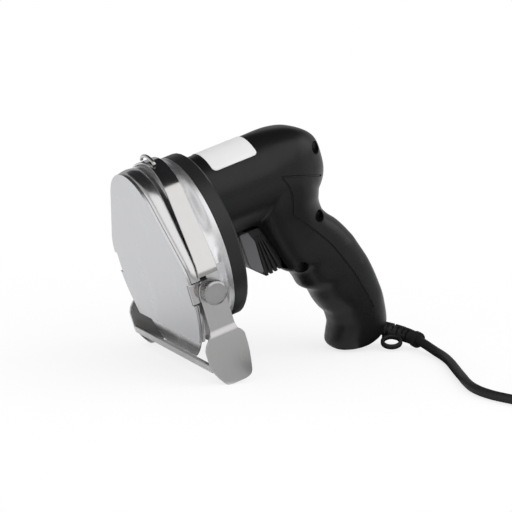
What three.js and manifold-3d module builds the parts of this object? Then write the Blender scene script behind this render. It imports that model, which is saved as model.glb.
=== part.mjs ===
// Electric kebab slicer: a round blade on a geared motor in a pistol-grip housing.
// Tool frame in millimetres: x runs back along the spindle, y to the tool's right, z up.
// The finished tool is tipped nose-down until it stands on its guide wings and its butt.

import * as THREE from 'three';
import { mergeVertices } from 'three/addons/utils/BufferGeometryUtils.js';
import Module from 'manifold-3d';

const wasm = await Module();
wasm.setup();

// Clearance kept between pieces that touch or fit on the real tool
const FIT = 0.3;

// Blade and spindle; the spindle axis is z = 0 and the cover's front face is x = 0
const BLADE_MARGIN = 6;
const BLADE_CLEARANCE = 0.9;
const BLADE_THICKNESS = 2;
const BLADE_EDGE = 0.5;
const BLADE_BEVEL = 9;
const BLADE_FRONT = 3.2;
const SPINDLE_DIAMETER = 8;
const SPINDLE_FLANGE_DIAMETER = 20;
const SPINDLE_FLANGE_LENGTH = 2.6;
const BLADE_SCREW_HEAD = 14;
const BLADE_SCREW_SHANK = 5;
const SPINDLE_BEARING = { outer: 22, width: 7 };

// Cover: a shield-shaped plate with a rim that is deeper at the top
const COVER_THICKNESS = 1.5;
const COVER_TOP_RADIUS = 36.5;
const COVER_TOP_HEIGHT = 63.2;
const COVER_SIDE_RADIUS = 24;
const COVER_HALF_WIDTH = 56;
const COVER_SIDE_HEIGHT = 3.9;
const COVER_LOWER_RADIUS = 57;
const COVER_CHORD_DROP = 30.7;
const RIM_WALL = 1.2;
const RIM_SIDE_DEPTH = 7.4;
const RIM_TOP_DEPTH = 10.6;
const NOTCH_HEIGHT = 12;
const NOTCH_DEPTH = 4.2;
const CLIP_THICKNESS = 1.6;

// Gear case, round at the back, and the guard strap that follows the cover's outline over it
const RING_CENTRE_HEIGHT = 13.2;
const STRAP_OFFSET = 0.6;
const STRAP_THICKNESS = 1.2;
const STRAP_FRONT = 6.2;
const STRAP_LEAN = 0.14;
const STRAP_WIDTH = 12;
const STRAP_TOP_WIDTH = 9.6;
const STRAP_END_HEIGHT = 8.4;
const CASE_FRONT = 12;
const CASE_LENGTH = 17.2;
const CASE_REAR_RADIUS = 48.8;
const CASE_REAR_BAND = 2;
const CASE_DROP = 40;
const CASE_WALL = 3;
const CASE_CAVITY_RADIUS = 39;
const CASE_CAVITY_HEIGHT = 9;
const EAR_HALF_HEIGHT = 7;
const EAR_FRONT = 7;
const EAR_INSET = 2.2;
const EAR_ROOT = 12;
const WAIST_RISE = 2;

// Folding bail on top of the strap
const BAIL_WIRE = 2;
const BAIL_SPAN = 19;
const BAIL_RISE = 2.4;
const BAIL_X = 17;
const BAIL_PIVOT_LIFT = 0.8;

// Thickness guide and the knobs that clamp it
const GUIDE_SHEET = 1.5;
const KNOB_X = 11.9;
const KNOB_Z = -1.2;
const KNOB_DIAMETER = 14;
const KNOB_HEIGHT = 6.5;
const KNOB_GROOVES = 28;
const KNOB_GROOVE_DEPTH = 0.5;
const KNOB_FLOOR = 2;
const STUD_DIAMETER = 6;
const STUD_DEPTH = 7.8;
const ARM_WIDTH = 15;
const ARM_LENGTH = 21.5;
const JOGGLE = 1.8;
const JOGGLE_LENGTH = 4;
const WING_FRONT = -2.3;
const WING_REAR = 22.9;
const WING_DROP = 55.45;
const WING_SHOULDER = 4;
const WING_CHAMFER = 7;
const WING_TAPER = 2.4;
const WING_CORNER = 4;
const BAR_HEIGHT = 4.6;
const BAR_LIP = 5;
const BAR_RISE = 10.05;

// Gears and motor
const GEAR_MODULE = 1.25;
const PINION_TEETH = 10;
const GEAR_TEETH = 42;
const GEAR_WIDTH = 7;
const MOTOR_HEIGHT = GEAR_MODULE * (PINION_TEETH + GEAR_TEETH) / 2;
const MOTOR_SHAFT_DIAMETER = 6;
const MOTOR_BEARING = { outer: 19, width: 6 };
const CORE_DIAMETER = 27;
const CORE_LENGTH = 32;
const CORE_FRONT = 47;
const STATOR_BORE = 28.4;
const FAN_DIAMETER = 40;
const FAN_FRONT = 40;
const FAN_BLADES = 8;
const FAN_LENGTH = 6;
const FAN_SHEET = 1.5;
const FAN_HUB_WALL = 3;
const COMMUTATOR_DIAMETER = 18;
const COMMUTATOR_LENGTH = 10;
const COMMUTATOR_GAP = 3;
const BRUSH_SIZE = 5;
const BRUSH_HOLDER_WALL = 1.2;
const BOSS_WALL = 3;

// Flange and housing
const FLANGE_LENGTH = 9.1;
const FLANGE_CHAMFER = 1.5;
const FLANGE_WALL = 3.5;
const BARREL_RADIUS = 25.3;
const BARREL_REAR = 117.6;
const HOUSING_WALL = 2.5;
const GRIP_HALF_WIDTH = 17.5;
const SCREW_HEAD = 6.4;
const SCREW_SHANK = 3;
const SCREW_SINK = 7;
const SCREW_HEAD_HEIGHT = 2.1;
const SCREW_BOSS_WALL = 2;
const LABEL_THICKNESS = 0.3;
const LABEL_FRONT = 46.5;
const LABEL_LENGTH = 28.2;
const LABEL_HALF_ANGLE = 0.8;

// Trigger and switch
const TRIGGER_WIDTH = 17;
const TRIGGER_TRAVEL = 5;
const TRIGGER_TOP = 4.6;
const TRIGGER_DROP = 19.5;
const TRIGGER_FRONT = 53.4;
const BOOT_FRONT = 62.4;
const BOOT_RIBS = 4;
const BOOT_RIB_SHARE = 0.62;
const BOOT_CORE_INSET = 2;
const POCKET_REAR = 81.5;
const POCKET_FLOOR = -22.5;
const POCKET_SPARE = 2;
const PLUNGER_DIAMETER = 6;
const PLUNGER_HEIGHT = -12;
const SWITCH_FRONT = 89;
const SWITCH_LENGTH = 15;
const SWITCH_HEIGHT = 19;

// Cord, its relief and plug
const CORD_DIAMETER = 5.4;
const RELIEF_ROOT_DIAMETER = 10.4;
const RELIEF_TIP_DIAMETER = 8;
const RELIEF_COLLAR = 0.8;
const RELIEF_LENGTH = 30;
const RELIEF_SEAT = 5;
const RELIEF_PITCH = THREE.MathUtils.degToRad(8);
const RELIEF_ROOT_HEADING = THREE.MathUtils.degToRad(20);
const RELIEF_TIP_HEADING = THREE.MathUtils.degToRad(84);
const HANG_DROOP = THREE.MathUtils.degToRad(20);
const HANG_HOLE = 8.5;
const HANG_WALL = 2.2;
const HANG_THICKNESS = 3;
const COIL_RADIUS = 41;
const COIL_TURNS = 3;
const COIL_PITCH = 6.1;
const COIL_LAYER = 5.9;
const COIL_LEAD = 24;
const TIE_THICKNESS = 1;
const TIE_WIDTH = 8;
const TIE_PLAY = 0.6;
const PLUG_HALF_WIDTH = 14;
const PLUG_HALF_HEIGHT = 9.7;
const PLUG_NECK_LENGTH = 9;
const PLUG_SHOULDER = 18;
const PLUG_LENGTH = 38;
const PLUG_EDGE = 1;
const PLUG_PIN_DIAMETER = 4.8;
const PLUG_PIN_LENGTH = 19;
const PLUG_PIN_SPACING = 19;

// Route of the free cord from the relief to the coil, as it lies on the table
const CORD_ROUTE = [
  [95.3, -22.5, 5.9], [95.9, -28.4, 5], [96.3, -41, 3.3], [95, -53.5, 2.9], [92, -66, 2.9],
  [88, -78.5, 2.9], [84, -90.5, 2.9], [80, -103, 2.9], [76, -115.5, 2.9], [73.5, -128, 2.9],
  [74, -141, 2.9], [78, -153.5, 2.9], [84.5, -165, 2.9], [93.5, -174, 3], [104, -180.6, 3.4],
  [115, -185.4, 4], [126.2, -190.6, 4.1],
];

// Sizes that follow from the ones above
const COVER_TOP_CENTRE = COVER_TOP_HEIGHT - COVER_TOP_RADIUS;
const COVER_SIDE_CENTRE = COVER_HALF_WIDTH - COVER_SIDE_RADIUS;
const COVER_RISE = COVER_TOP_CENTRE - COVER_SIDE_HEIGHT;
const COVER_SPAN = Math.hypot(COVER_SIDE_CENTRE, COVER_RISE);
const COVER_LEAN = Math.asin((COVER_TOP_RADIUS - COVER_SIDE_RADIUS) / COVER_SPAN);
const COVER_FLANK = Math.atan2(COVER_SIDE_CENTRE, COVER_RISE) - COVER_LEAN;
const FLANK_REACH = COVER_TOP_RADIUS + COVER_TOP_CENTRE * Math.sin(COVER_FLANK);
// The blade clears the clips at its sides and the rim along the flanks
const BLADE_RADIUS = Math.min(
  COVER_HALF_WIDTH - BLADE_MARGIN,
  FLANK_REACH - RIM_WALL - BLADE_CLEARANCE,
);
const EAR_REACH = COVER_HALF_WIDTH - EAR_INSET;
const STUD_ROOT = EAR_REACH - STUD_DEPTH;
const SPINDLE_RADIUS = SPINDLE_DIAMETER / 2 - FIT / 2;
const SPINDLE_BORE = SPINDLE_DIAMETER / 2 + FIT / 2;
const FLANGE_FRONT = CASE_FRONT + CASE_LENGTH + FIT;
const FLANGE_REAR = FLANGE_FRONT + FLANGE_LENGTH;
const HOUSING_FRONT = FLANGE_REAR + FIT;
const HUB_REAR = CASE_FRONT + CASE_WALL + FIT + SPINDLE_BEARING.width / 2;
const GEAR_FRONT = HUB_REAR + FIT;
const SPINDLE_REAR = GEAR_FRONT + GEAR_WIDTH + FIT + SPINDLE_BEARING.width;
const SHAFT_RADIUS = MOTOR_SHAFT_DIAMETER / 2 - FIT / 2;
const SHAFT_BORE = MOTOR_SHAFT_DIAMETER / 2 + FIT / 2;
const COMMUTATOR_FRONT = CORE_FRONT + CORE_LENGTH + COMMUTATOR_GAP;
const REAR_BEARING = COMMUTATOR_FRONT + COMMUTATOR_LENGTH + 2;

// Joins and cuts work on closed solids made from three.js geometry
function solid(geometry) {
  const bare = geometry.index ? geometry.toNonIndexed() : geometry.clone();
  for (const name of Object.keys(bare.attributes)) {
    if (name !== 'position') bare.deleteAttribute(name);
  }
  const merged = mergeVertices(bare, 1e-4);
  const kept = [];
  const index = merged.index.array;
  for (let i = 0; i < index.length; i += 3) {
    const [a, b, c] = [index[i], index[i + 1], index[i + 2]];
    if (a !== b && b !== c && c !== a) kept.push(a, b, c);
  }
  return new wasm.Manifold(new wasm.Mesh({
    numProp: 3,
    vertProperties: new Float32Array(merged.attributes.position.array),
    triVerts: new Uint32Array(kept),
  }));
}

function geometryOf(body) {
  const mesh = body.getMesh();
  const geometry = new THREE.BufferGeometry();
  geometry.setAttribute('position', new THREE.BufferAttribute(mesh.vertProperties, mesh.numProp));
  geometry.setIndex(new THREE.BufferAttribute(mesh.triVerts, 1));
  geometry.computeVertexNormals();
  return geometry;
}

function join(first, ...others) {
  return others.reduce((sum, next) => sum.add(next), first);
}

function cut(first, ...others) {
  return others.reduce((rest, next) => rest.subtract(next), first);
}

// Plain shapes in the tool frame
const ALONG_X = new THREE.Matrix4().makeBasis(
  new THREE.Vector3(0, 1, 0), new THREE.Vector3(0, 0, 1), new THREE.Vector3(1, 0, 0));
const ALONG_Y = new THREE.Matrix4().makeBasis(
  new THREE.Vector3(0, 0, 1), new THREE.Vector3(1, 0, 0), new THREE.Vector3(0, 1, 0));

function box(x0, x1, y0, y1, z0, z1) {
  const geometry = new THREE.BoxGeometry(x1 - x0, y1 - y0, z1 - z0);
  return solid(geometry.translate((x0 + x1) / 2, (y0 + y1) / 2, (z0 + z1) / 2));
}

// A stretch along y on one side of the middle plane, low end first
function sided(side, a, b) {
  return [Math.min(side * a, side * b), Math.max(side * a, side * b)];
}

function rodX(radius, x0, x1, y, z, sides = 32) {
  const geometry = new THREE.CylinderGeometry(radius, radius, x1 - x0, sides);
  return solid(geometry.rotateZ(-Math.PI / 2).translate((x0 + x1) / 2, y, z));
}

function rodY(radius, y0, y1, x, z, sides = 24) {
  const geometry = new THREE.CylinderGeometry(radius, radius, y1 - y0, sides);
  return solid(geometry.translate(x, (y0 + y1) / 2, z));
}

// A turned piece about an axis along x; the profile holds [radius, x] pairs
function turnedX(profile, z, sides = 48) {
  const points = profile.map(([radius, x]) => new THREE.Vector2(radius, x));
  const geometry = new THREE.LatheGeometry(points, sides).rotateZ(-Math.PI / 2).translate(0, 0, z);
  const body = solid(geometry);
  return body.volume() < 0 ? solid(flipped(geometry)) : body;
}

function flipped(geometry) {
  const turned = geometry.toNonIndexed();
  const p = turned.attributes.position;
  for (let i = 0; i < p.count; i += 3) {
    const [x, y, z] = [p.getX(i), p.getY(i), p.getZ(i)];
    p.setXYZ(i, p.getX(i + 1), p.getY(i + 1), p.getZ(i + 1));
    p.setXYZ(i + 1, x, y, z);
  }
  return turned;
}

// An outline in (y, z) made thick along x, or in (z, x) made thick along y
function slabX(shape, x0, x1, segments = 10) {
  const options = { depth: x1 - x0, bevelEnabled: false, curveSegments: segments };
  return solid(new THREE.ExtrudeGeometry(shape, options).applyMatrix4(ALONG_X).translate(x0, 0, 0));
}

function slabY(shape, y0, y1, segments = 4) {
  const options = { depth: y1 - y0, bevelEnabled: false, curveSegments: segments };
  return solid(new THREE.ExtrudeGeometry(shape, options).applyMatrix4(ALONG_Y).translate(0, y0, 0));
}

// A closed outline of [x, z] corners, each rounded by its own radius
function roundedOutline(corners) {
  const shape = new THREE.Shape();
  corners.forEach(([x, z, radius], i) => {
    const here = new THREE.Vector2(z, x);
    const last = corners[(i + corners.length - 1) % corners.length];
    const next = corners[(i + 1) % corners.length];
    const back = new THREE.Vector2(last[1], last[0]).sub(here).setLength(radius || 1e-6);
    const ahead = new THREE.Vector2(next[1], next[0]).sub(here).setLength(radius || 1e-6);
    const start = here.clone().add(back);
    const end = here.clone().add(ahead);
    if (i === 0) shape.moveTo(start.x, start.y);
    else shape.lineTo(start.x, start.y);
    if (radius) shape.quadraticCurveTo(here.x, here.y, end.x, end.y);
  });
  shape.closePath();
  return shape;
}

// A skin over a row of closed rings with the same number of points, capped at both ends
function loft(rings) {
  const count = rings[0].length;
  const points = [];
  const faces = [];
  rings.forEach((ring) => points.push(...ring));
  for (let r = 0; r + 1 < rings.length; r += 1) {
    for (let i = 0; i < count; i += 1) {
      const a = r * count + i;
      const b = r * count + (i + 1) % count;
      faces.push(a, b, a + count, b, b + count, a + count);
    }
  }
  const cap = (ring, offset, forward) => {
    const centre = ring.reduce((sum, p) => sum.add(p), new THREE.Vector3()).divideScalar(count);
    points.push(centre);
    for (let i = 0; i < count; i += 1) {
      const pair = [offset + i, offset + (i + 1) % count];
      faces.push(points.length - 1, ...(forward ? pair : pair.reverse()));
    }
  };
  cap(rings[0], 0, false);
  cap(rings[rings.length - 1], (rings.length - 1) * count, true);
  const geometry = new THREE.BufferGeometry().setFromPoints(points);
  geometry.setIndex(faces);
  const body = solid(geometry);
  return body.volume() < 0 ? solid(flipped(geometry)) : body;
}

// A round tube through points, with a radius for each, kept from twisting along the way
function tube(points, radii, sides) {
  const tangents = points.map((p, i) => {
    const before = points[Math.max(i - 1, 0)];
    const after = points[Math.min(i + 1, points.length - 1)];
    return after.clone().sub(before).normalize();
  });
  let side = new THREE.Vector3(0, 0, 1).cross(tangents[0]);
  if (side.length() < 0.1) side = new THREE.Vector3(1, 0, 0);
  const rings = points.map((p, i) => {
    side = side.sub(tangents[i].clone().multiplyScalar(side.dot(tangents[i]))).normalize();
    const up = tangents[i].clone().cross(side);
    return Array.from({ length: sides }, (_, k) => {
      const angle = 2 * Math.PI * k / sides;
      const offset = side.clone().multiplyScalar(radii[i] * Math.cos(angle));
      return offset.add(up.clone().multiplyScalar(radii[i] * Math.sin(angle))).add(p);
    });
  });
  return loft(rings);
}

// A tube of one radius swept along a curve
function sweep(curve, radius, sides, steps) {
  const section = new THREE.Shape(Array.from({ length: sides }, (_, i) => {
    const angle = 2 * Math.PI * i / sides;
    return new THREE.Vector2(radius * Math.cos(angle), radius * Math.sin(angle));
  }));
  const options = { steps, extrudePath: curve, bevelEnabled: false };
  return solid(new THREE.ExtrudeGeometry(section, options));
}

// Surface finishes seen in the photograph
function finish(color, roughness, metalness) {
  return new THREE.MeshStandardMaterial({ color, roughness, metalness });
}
const steel = () => finish(0xc4c4c6, 0.3, 1);
const castMetal = () => finish(0xd2d3d5, 0.45, 1);
const blackPlastic = () => finish(0x232325, 0.5, 0);
const rubber = () => finish(0x1a1a1b, 0.75, 0);
const copper = () => finish(0xb87446, 0.4, 1);

const tool = new THREE.Group();
const lead = new THREE.Group();

function place(group, name, body, material) {
  const mesh = new THREE.Mesh(geometryOf(body), material);
  mesh.name = name;
  group.add(mesh);
  return mesh;
}

// Cover outline: top arc, straight flanks, side arcs, lower arcs and a chord, inset as needed
function coverOutline(inset, drop = COVER_CHORD_DROP) {
  const shape = new THREE.Shape();
  const side = COVER_SIDE_CENTRE;
  const flank = COVER_FLANK;
  const lowerCentre = COVER_HALF_WIDTH - COVER_LOWER_RADIUS;
  const chord = COVER_SIDE_HEIGHT + drop;
  const lower = Math.asin((chord - inset) / (COVER_LOWER_RADIUS - inset));
  shape.absarc(lowerCentre, COVER_SIDE_HEIGHT, COVER_LOWER_RADIUS - inset, -lower, 0, false);
  shape.absarc(side, COVER_SIDE_HEIGHT, COVER_SIDE_RADIUS - inset, 0, flank, false);
  shape.absarc(0, COVER_TOP_CENTRE, COVER_TOP_RADIUS - inset, flank, Math.PI - flank, false);
  shape.absarc(-side, COVER_SIDE_HEIGHT, COVER_SIDE_RADIUS - inset, Math.PI - flank, Math.PI, false);
  shape.absarc(-lowerCentre, COVER_SIDE_HEIGHT, COVER_LOWER_RADIUS - inset, Math.PI, Math.PI + lower, false);
  shape.closePath();
  return shape;
}

function makeCover() {
  const reach = COVER_HALF_WIDTH + FIT;
  const notches = [-1, 1].map((side) => {
    const across = sided(side, COVER_HALF_WIDTH - NOTCH_DEPTH, reach);
    return box(-FIT, COVER_THICKNESS + FIT, ...across, -NOTCH_HEIGHT / 2, NOTCH_HEIGHT / 2);
  });
  const plate = cut(slabX(coverOutline(0), 0, COVER_THICKNESS), ...notches);
  place(tool, 'cover_plate', plate, steel());

  const front = COVER_THICKNESS + FIT;
  const deep = RIM_TOP_DEPTH + FIT;
  const hollow = slabX(coverOutline(RIM_WALL), 0, deep + FIT);
  const band = slabX(coverOutline(0), front, deep).subtract(hollow);
  const foot = NOTCH_HEIGHT / 2 + FIT;
  const below = box(0, deep + FIT, -reach, reach, -reach, foot);
  const behind = new THREE.Shape();
  behind.moveTo(foot - FIT, RIM_SIDE_DEPTH);
  behind.lineTo(COVER_TOP_HEIGHT + FIT, RIM_TOP_DEPTH);
  behind.lineTo(COVER_TOP_HEIGHT + FIT, deep + FIT);
  behind.lineTo(foot - FIT, deep + FIT);
  place(tool, 'cover_rim', cut(band, below, slabY(behind, -reach, reach)), steel());
}

function makeClips() {
  const inner = COVER_HALF_WIDTH - NOTCH_DEPTH + FIT;
  const half = NOTCH_HEIGHT / 2 - FIT;
  const rear = EAR_FRONT - FIT;
  for (const [name, side] of [['cover_clip_left', -1], ['cover_clip_right', 1]]) {
    const across = sided(side, inner, inner + CLIP_THICKNESS);
    place(tool, name, box(FIT, rear, ...across, -half, half), steel());
  }
}

// The strap's front and rear edges lean back with height
const strapFront = (z) => STRAP_FRONT + STRAP_LEAN * (z - STRAP_END_HEIGHT);
const strapRear = (z) => {
  const share = (z - STRAP_END_HEIGHT) / (COVER_TOP_HEIGHT - STRAP_END_HEIGHT);
  return strapFront(z) + THREE.MathUtils.lerp(STRAP_WIDTH, STRAP_TOP_WIDTH, share);
};

// A wedge across the tool in the side view, from one edge line out to a far x
function wedge(edge, far, low, high, reach) {
  const shape = new THREE.Shape();
  shape.moveTo(low, edge(low));
  shape.lineTo(high, edge(high));
  shape.lineTo(high, far);
  shape.lineTo(low, far);
  shape.closePath();
  return slabY(shape, -reach, reach);
}

function makeStrap() {
  const outer = STRAP_OFFSET + STRAP_THICKNESS;
  const rear = strapRear(COVER_TOP_HEIGHT) + outer;
  const reach = COVER_HALF_WIDTH + 2 * outer;
  const top = COVER_TOP_HEIGHT + 2 * outer;
  const hollow = slabX(coverOutline(-STRAP_OFFSET), -FIT, rear + FIT);
  const band = slabX(coverOutline(-outer), 0, rear).subtract(hollow);
  const below = box(-FIT, rear + FIT, -reach, reach, -top, STRAP_END_HEIGHT);
  const ahead = wedge(strapFront, -FIT, 0, top, reach);
  const behind = wedge(strapRear, rear + FIT, 0, top, reach);
  place(tool, 'guard_strap', cut(band, below, ahead, behind), steel());
}

function makeBail() {
  const foot = COVER_TOP_HEIGHT + STRAP_OFFSET + STRAP_THICKNESS + BAIL_PIVOT_LIFT;
  const curve = new THREE.CatmullRomCurve3(Array.from({ length: 9 }, (_, i) => {
    const angle = Math.PI * i / 8;
    const y = -BAIL_SPAN / 2 * Math.cos(angle);
    return new THREE.Vector3(BAIL_X, y, foot + BAIL_RISE * Math.sin(angle) - footDrop(y));
  }));
  place(tool, 'strap_bail', sweep(curve, BAIL_WIRE / 2, 8, 16), steel());
}

// How far the cover's top arc falls away from its crown at a distance to the side
function footDrop(y) {
  return COVER_TOP_RADIUS - Math.sqrt(COVER_TOP_RADIUS ** 2 - y ** 2);
}

// Distance from the ring centre to the cover's outline along a direction, for lofting
function outlineReach(points, angle) {
  const way = new THREE.Vector2(Math.sin(angle), Math.cos(angle));
  let reach = 0;
  points.forEach((a, i) => {
    const b = points[(i + 1) % points.length];
    const [ay, az] = [a.x, a.y - RING_CENTRE_HEIGHT];
    const [ey, ez] = [b.x - a.x, b.y - a.y];
    const across = way.x * ez - way.y * ey;
    if (Math.abs(across) < 1e-9) return;
    const along = (ay * ez - az * ey) / across;
    const share = (ay * way.y - az * way.x) / across;
    if (along > 0 && share >= 0 && share <= 1) reach = Math.max(reach, along);
  });
  return reach;
}

function makeGearCase() {
  const rear = CASE_FRONT + CASE_LENGTH;
  const outline = coverOutline(FIT - STRAP_OFFSET, CASE_DROP).getPoints(16);
  const waist = coverOutline(EAR_INSET + FIT, CASE_DROP).getPoints(16);
  const sides = 48;
  const angles = Array.from({ length: sides }, (_, i) => 2 * Math.PI * (i + 0.5) / sides);
  const ringAt = (reach, x) => angles.map((angle) => {
    const radius = reach(angle);
    const z = RING_CENTRE_HEIGHT + radius * Math.cos(angle);
    return new THREE.Vector3(x(z), radius * Math.sin(angle), z);
  });
  const shield = (angle) => {
    const reach = outlineReach(outline, angle);
    const height = RING_CENTRE_HEIGHT + reach * Math.cos(angle);
    return height > STRAP_END_HEIGHT + WAIST_RISE ? reach : outlineReach(waist, angle);
  };
  const round = () => CASE_REAR_RADIUS;
  const shell = loft([
    ringAt(shield, () => CASE_FRONT),
    ringAt(shield, (z) => strapRear(z) + FIT),
    ringAt(round, () => rear - CASE_REAR_BAND),
    ringAt(round, () => rear),
  ]);
  const inside = CASE_FRONT + CASE_WALL;
  const cavity = rodX(CASE_CAVITY_RADIUS, inside, rear + 1, 0, CASE_CAVITY_HEIGHT, 40);
  const seat = SPINDLE_BEARING.outer / 2 + FIT;
  const hubFront = HUB_REAR - SPINDLE_BEARING.width - FIT - CASE_WALL / 2;
  const hub = rodX(seat + CASE_WALL, hubFront, HUB_REAR, 0, 0);
  const bore = rodX(seat, HUB_REAR - SPINDLE_BEARING.width - FIT, HUB_REAR + FIT, 0, 0);
  const way = rodX(SPINDLE_BORE + 1, hubFront - FIT, HUB_REAR + FIT, 0, 0);
  const ears = [-1, 1].map((side) => {
    const across = sided(side, COVER_HALF_WIDTH - EAR_ROOT, EAR_REACH);
    return box(EAR_FRONT, inside, ...across, KNOB_Z - EAR_HALF_HEIGHT, KNOB_Z + EAR_HALF_HEIGHT);
  });
  const studs = [-1, 1].map((side) => studBore(side));
  const hollow = shell.subtract(cavity);
  place(tool, 'gear_case', cut(join(hollow, hub, ...ears), bore, way, ...studs), castMetal());
}

// The bore that takes a stud in the case's ear, one on each side
function studBore(side) {
  const across = sided(side, STUD_ROOT, EAR_REACH + KNOB_HEIGHT);
  return rodY(STUD_DIAMETER / 2 + FIT, ...across, KNOB_X, KNOB_Z);
}

function ring(outer, inner, x0, x1, z, sides = 20) {
  return rodX(outer, x0, x1, 0, z, sides).subtract(rodX(inner, x0 - 1, x1 + 1, 0, z, sides));
}

function makeSpindle() {
  const bladeRear = BLADE_FRONT + BLADE_THICKNESS;
  const flangeFront = bladeRear + FIT;
  const flangeRear = flangeFront + SPINDLE_FLANGE_LENGTH;
  const nose = BLADE_FRONT + FIT;
  const hole = BLADE_SCREW_SHANK / 2 + FIT;
  const spindle = turnedX([
    [hole, nose], [SPINDLE_RADIUS, nose], [SPINDLE_RADIUS, flangeFront],
    [SPINDLE_FLANGE_DIAMETER / 2, flangeFront], [SPINDLE_FLANGE_DIAMETER / 2, flangeRear],
    [SPINDLE_RADIUS, flangeRear], [SPINDLE_RADIUS, SPINDLE_REAR], [0, SPINDLE_REAR], [0, GEAR_FRONT],
    [hole, GEAR_FRONT], [hole, nose],
  ], 0, 20);
  place(tool, 'spindle', spindle, steel());

  const blade = turnedX([
    [SPINDLE_BORE, BLADE_FRONT], [BLADE_RADIUS, BLADE_FRONT], [BLADE_RADIUS, BLADE_FRONT + BLADE_EDGE],
    [BLADE_RADIUS - BLADE_BEVEL, bladeRear], [SPINDLE_BORE, bladeRear], [SPINDLE_BORE, BLADE_FRONT],
  ], 0, 52);
  place(tool, 'blade', blade, steel());

  const head = BLADE_FRONT - FIT;
  const screw = turnedX([
    [0, COVER_THICKNESS + FIT], [BLADE_SCREW_HEAD / 2, COVER_THICKNESS + FIT], [BLADE_SCREW_HEAD / 2, head],
    [BLADE_SCREW_SHANK / 2, head], [BLADE_SCREW_SHANK / 2, GEAR_FRONT - FIT], [0, GEAR_FRONT - FIT],
  ], 0, 20);
  place(tool, 'blade_screw', screw, steel());

  const outer = SPINDLE_BEARING.outer / 2;
  const first = HUB_REAR - SPINDLE_BEARING.width;
  place(tool, 'spindle_bearing_front', ring(outer, SPINDLE_BORE, first, HUB_REAR, 0), steel());
  const second = GEAR_FRONT + GEAR_WIDTH + FIT;
  place(tool, 'spindle_bearing_rear', ring(outer, SPINDLE_BORE, second, SPINDLE_REAR, 0), steel());
}

// A straight-toothed wheel with narrow teeth, so that the pair turns with backlash
function toothed(teeth, bore, x0, x1, z, phase) {
  const pitch = GEAR_MODULE * teeth / 2;
  const tip = pitch + 0.8 * GEAR_MODULE;
  const root = pitch - 1.15 * GEAR_MODULE;
  const shape = new THREE.Shape();
  const step = 2 * Math.PI / teeth;
  const at = (radius, angle) => [radius * Math.sin(angle), z + radius * Math.cos(angle)];
  for (let i = 0; i < teeth; i += 1) {
    const middle = phase + i * step;
    const corners = [[root, -0.27], [tip, -0.11], [tip, 0.11], [root, 0.27]];
    corners.forEach(([radius, share], k) => {
      const [y, height] = at(radius, middle + share * step);
      if (i === 0 && k === 0) shape.moveTo(y, height);
      else shape.lineTo(y, height);
    });
  }
  shape.closePath();
  return slabX(shape, x0, x1).subtract(rodX(bore, x0 - 1, x1 + 1, 0, z, 24));
}

function makeDrive() {
  const rear = GEAR_FRONT + GEAR_WIDTH;
  place(tool, 'drive_gear', toothed(GEAR_TEETH, SPINDLE_BORE, GEAR_FRONT, rear, 0, 0), steel());
  const half = Math.PI / PINION_TEETH;
  const pinion = toothed(PINION_TEETH, SHAFT_BORE, GEAR_FRONT, rear, MOTOR_HEIGHT, Math.PI + half);
  place(tool, 'motor_pinion', pinion, steel());

  const shaftRear = REAR_BEARING + MOTOR_BEARING.width;
  const shaft = rodX(SHAFT_RADIUS, GEAR_FRONT, shaftRear, 0, MOTOR_HEIGHT, 16);
  place(tool, 'armature_shaft', shaft, steel());
  const core = ring(CORE_DIAMETER / 2, SHAFT_BORE, CORE_FRONT, CORE_FRONT + CORE_LENGTH, MOTOR_HEIGHT);
  place(tool, 'armature_core', core, finish(0x8a6a4a, 0.6, 0.6));
  const commutatorRear = COMMUTATOR_FRONT + COMMUTATOR_LENGTH;
  const bars = ring(COMMUTATOR_DIAMETER / 2, SHAFT_BORE, COMMUTATOR_FRONT, commutatorRear, MOTOR_HEIGHT);
  place(tool, 'commutator', bars, copper());

  const bearing = (front) => {
    const rearFace = front + MOTOR_BEARING.width;
    return ring(MOTOR_BEARING.outer / 2, SHAFT_BORE, front, rearFace, MOTOR_HEIGHT);
  };
  place(tool, 'motor_bearing_front', bearing(FLANGE_FRONT + FIT), steel());
  place(tool, 'motor_bearing_rear', bearing(REAR_BEARING), steel());
}

function makeFan() {
  const rear = FAN_FRONT + FAN_LENGTH;
  const tip = FAN_DIAMETER / 2;
  const hubRadius = SHAFT_BORE + FAN_HUB_WALL;
  const hub = rodX(hubRadius, FAN_FRONT, rear, 0, MOTOR_HEIGHT, 24);
  const disc = rodX(tip, rear - FAN_SHEET, rear, 0, MOTOR_HEIGHT, 32);
  const vanes = Array.from({ length: FAN_BLADES }, (_, i) => {
    const vane = new THREE.BoxGeometry(FAN_LENGTH - FIT, FAN_SHEET, tip - SHAFT_BORE - FAN_SHEET);
    vane.translate(FAN_FRONT + FAN_LENGTH / 2, 0, (tip + SHAFT_BORE + FAN_SHEET) / 2 - FIT);
    return solid(vane.rotateX(2 * Math.PI * i / FAN_BLADES).translate(0, 0, MOTOR_HEIGHT));
  });
  const bore = rodX(SHAFT_BORE, FAN_FRONT - FIT, rear + FIT, 0, MOTOR_HEIGHT, 24);
  place(tool, 'fan', cut(join(hub, disc, ...vanes), bore), blackPlastic());
}

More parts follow.
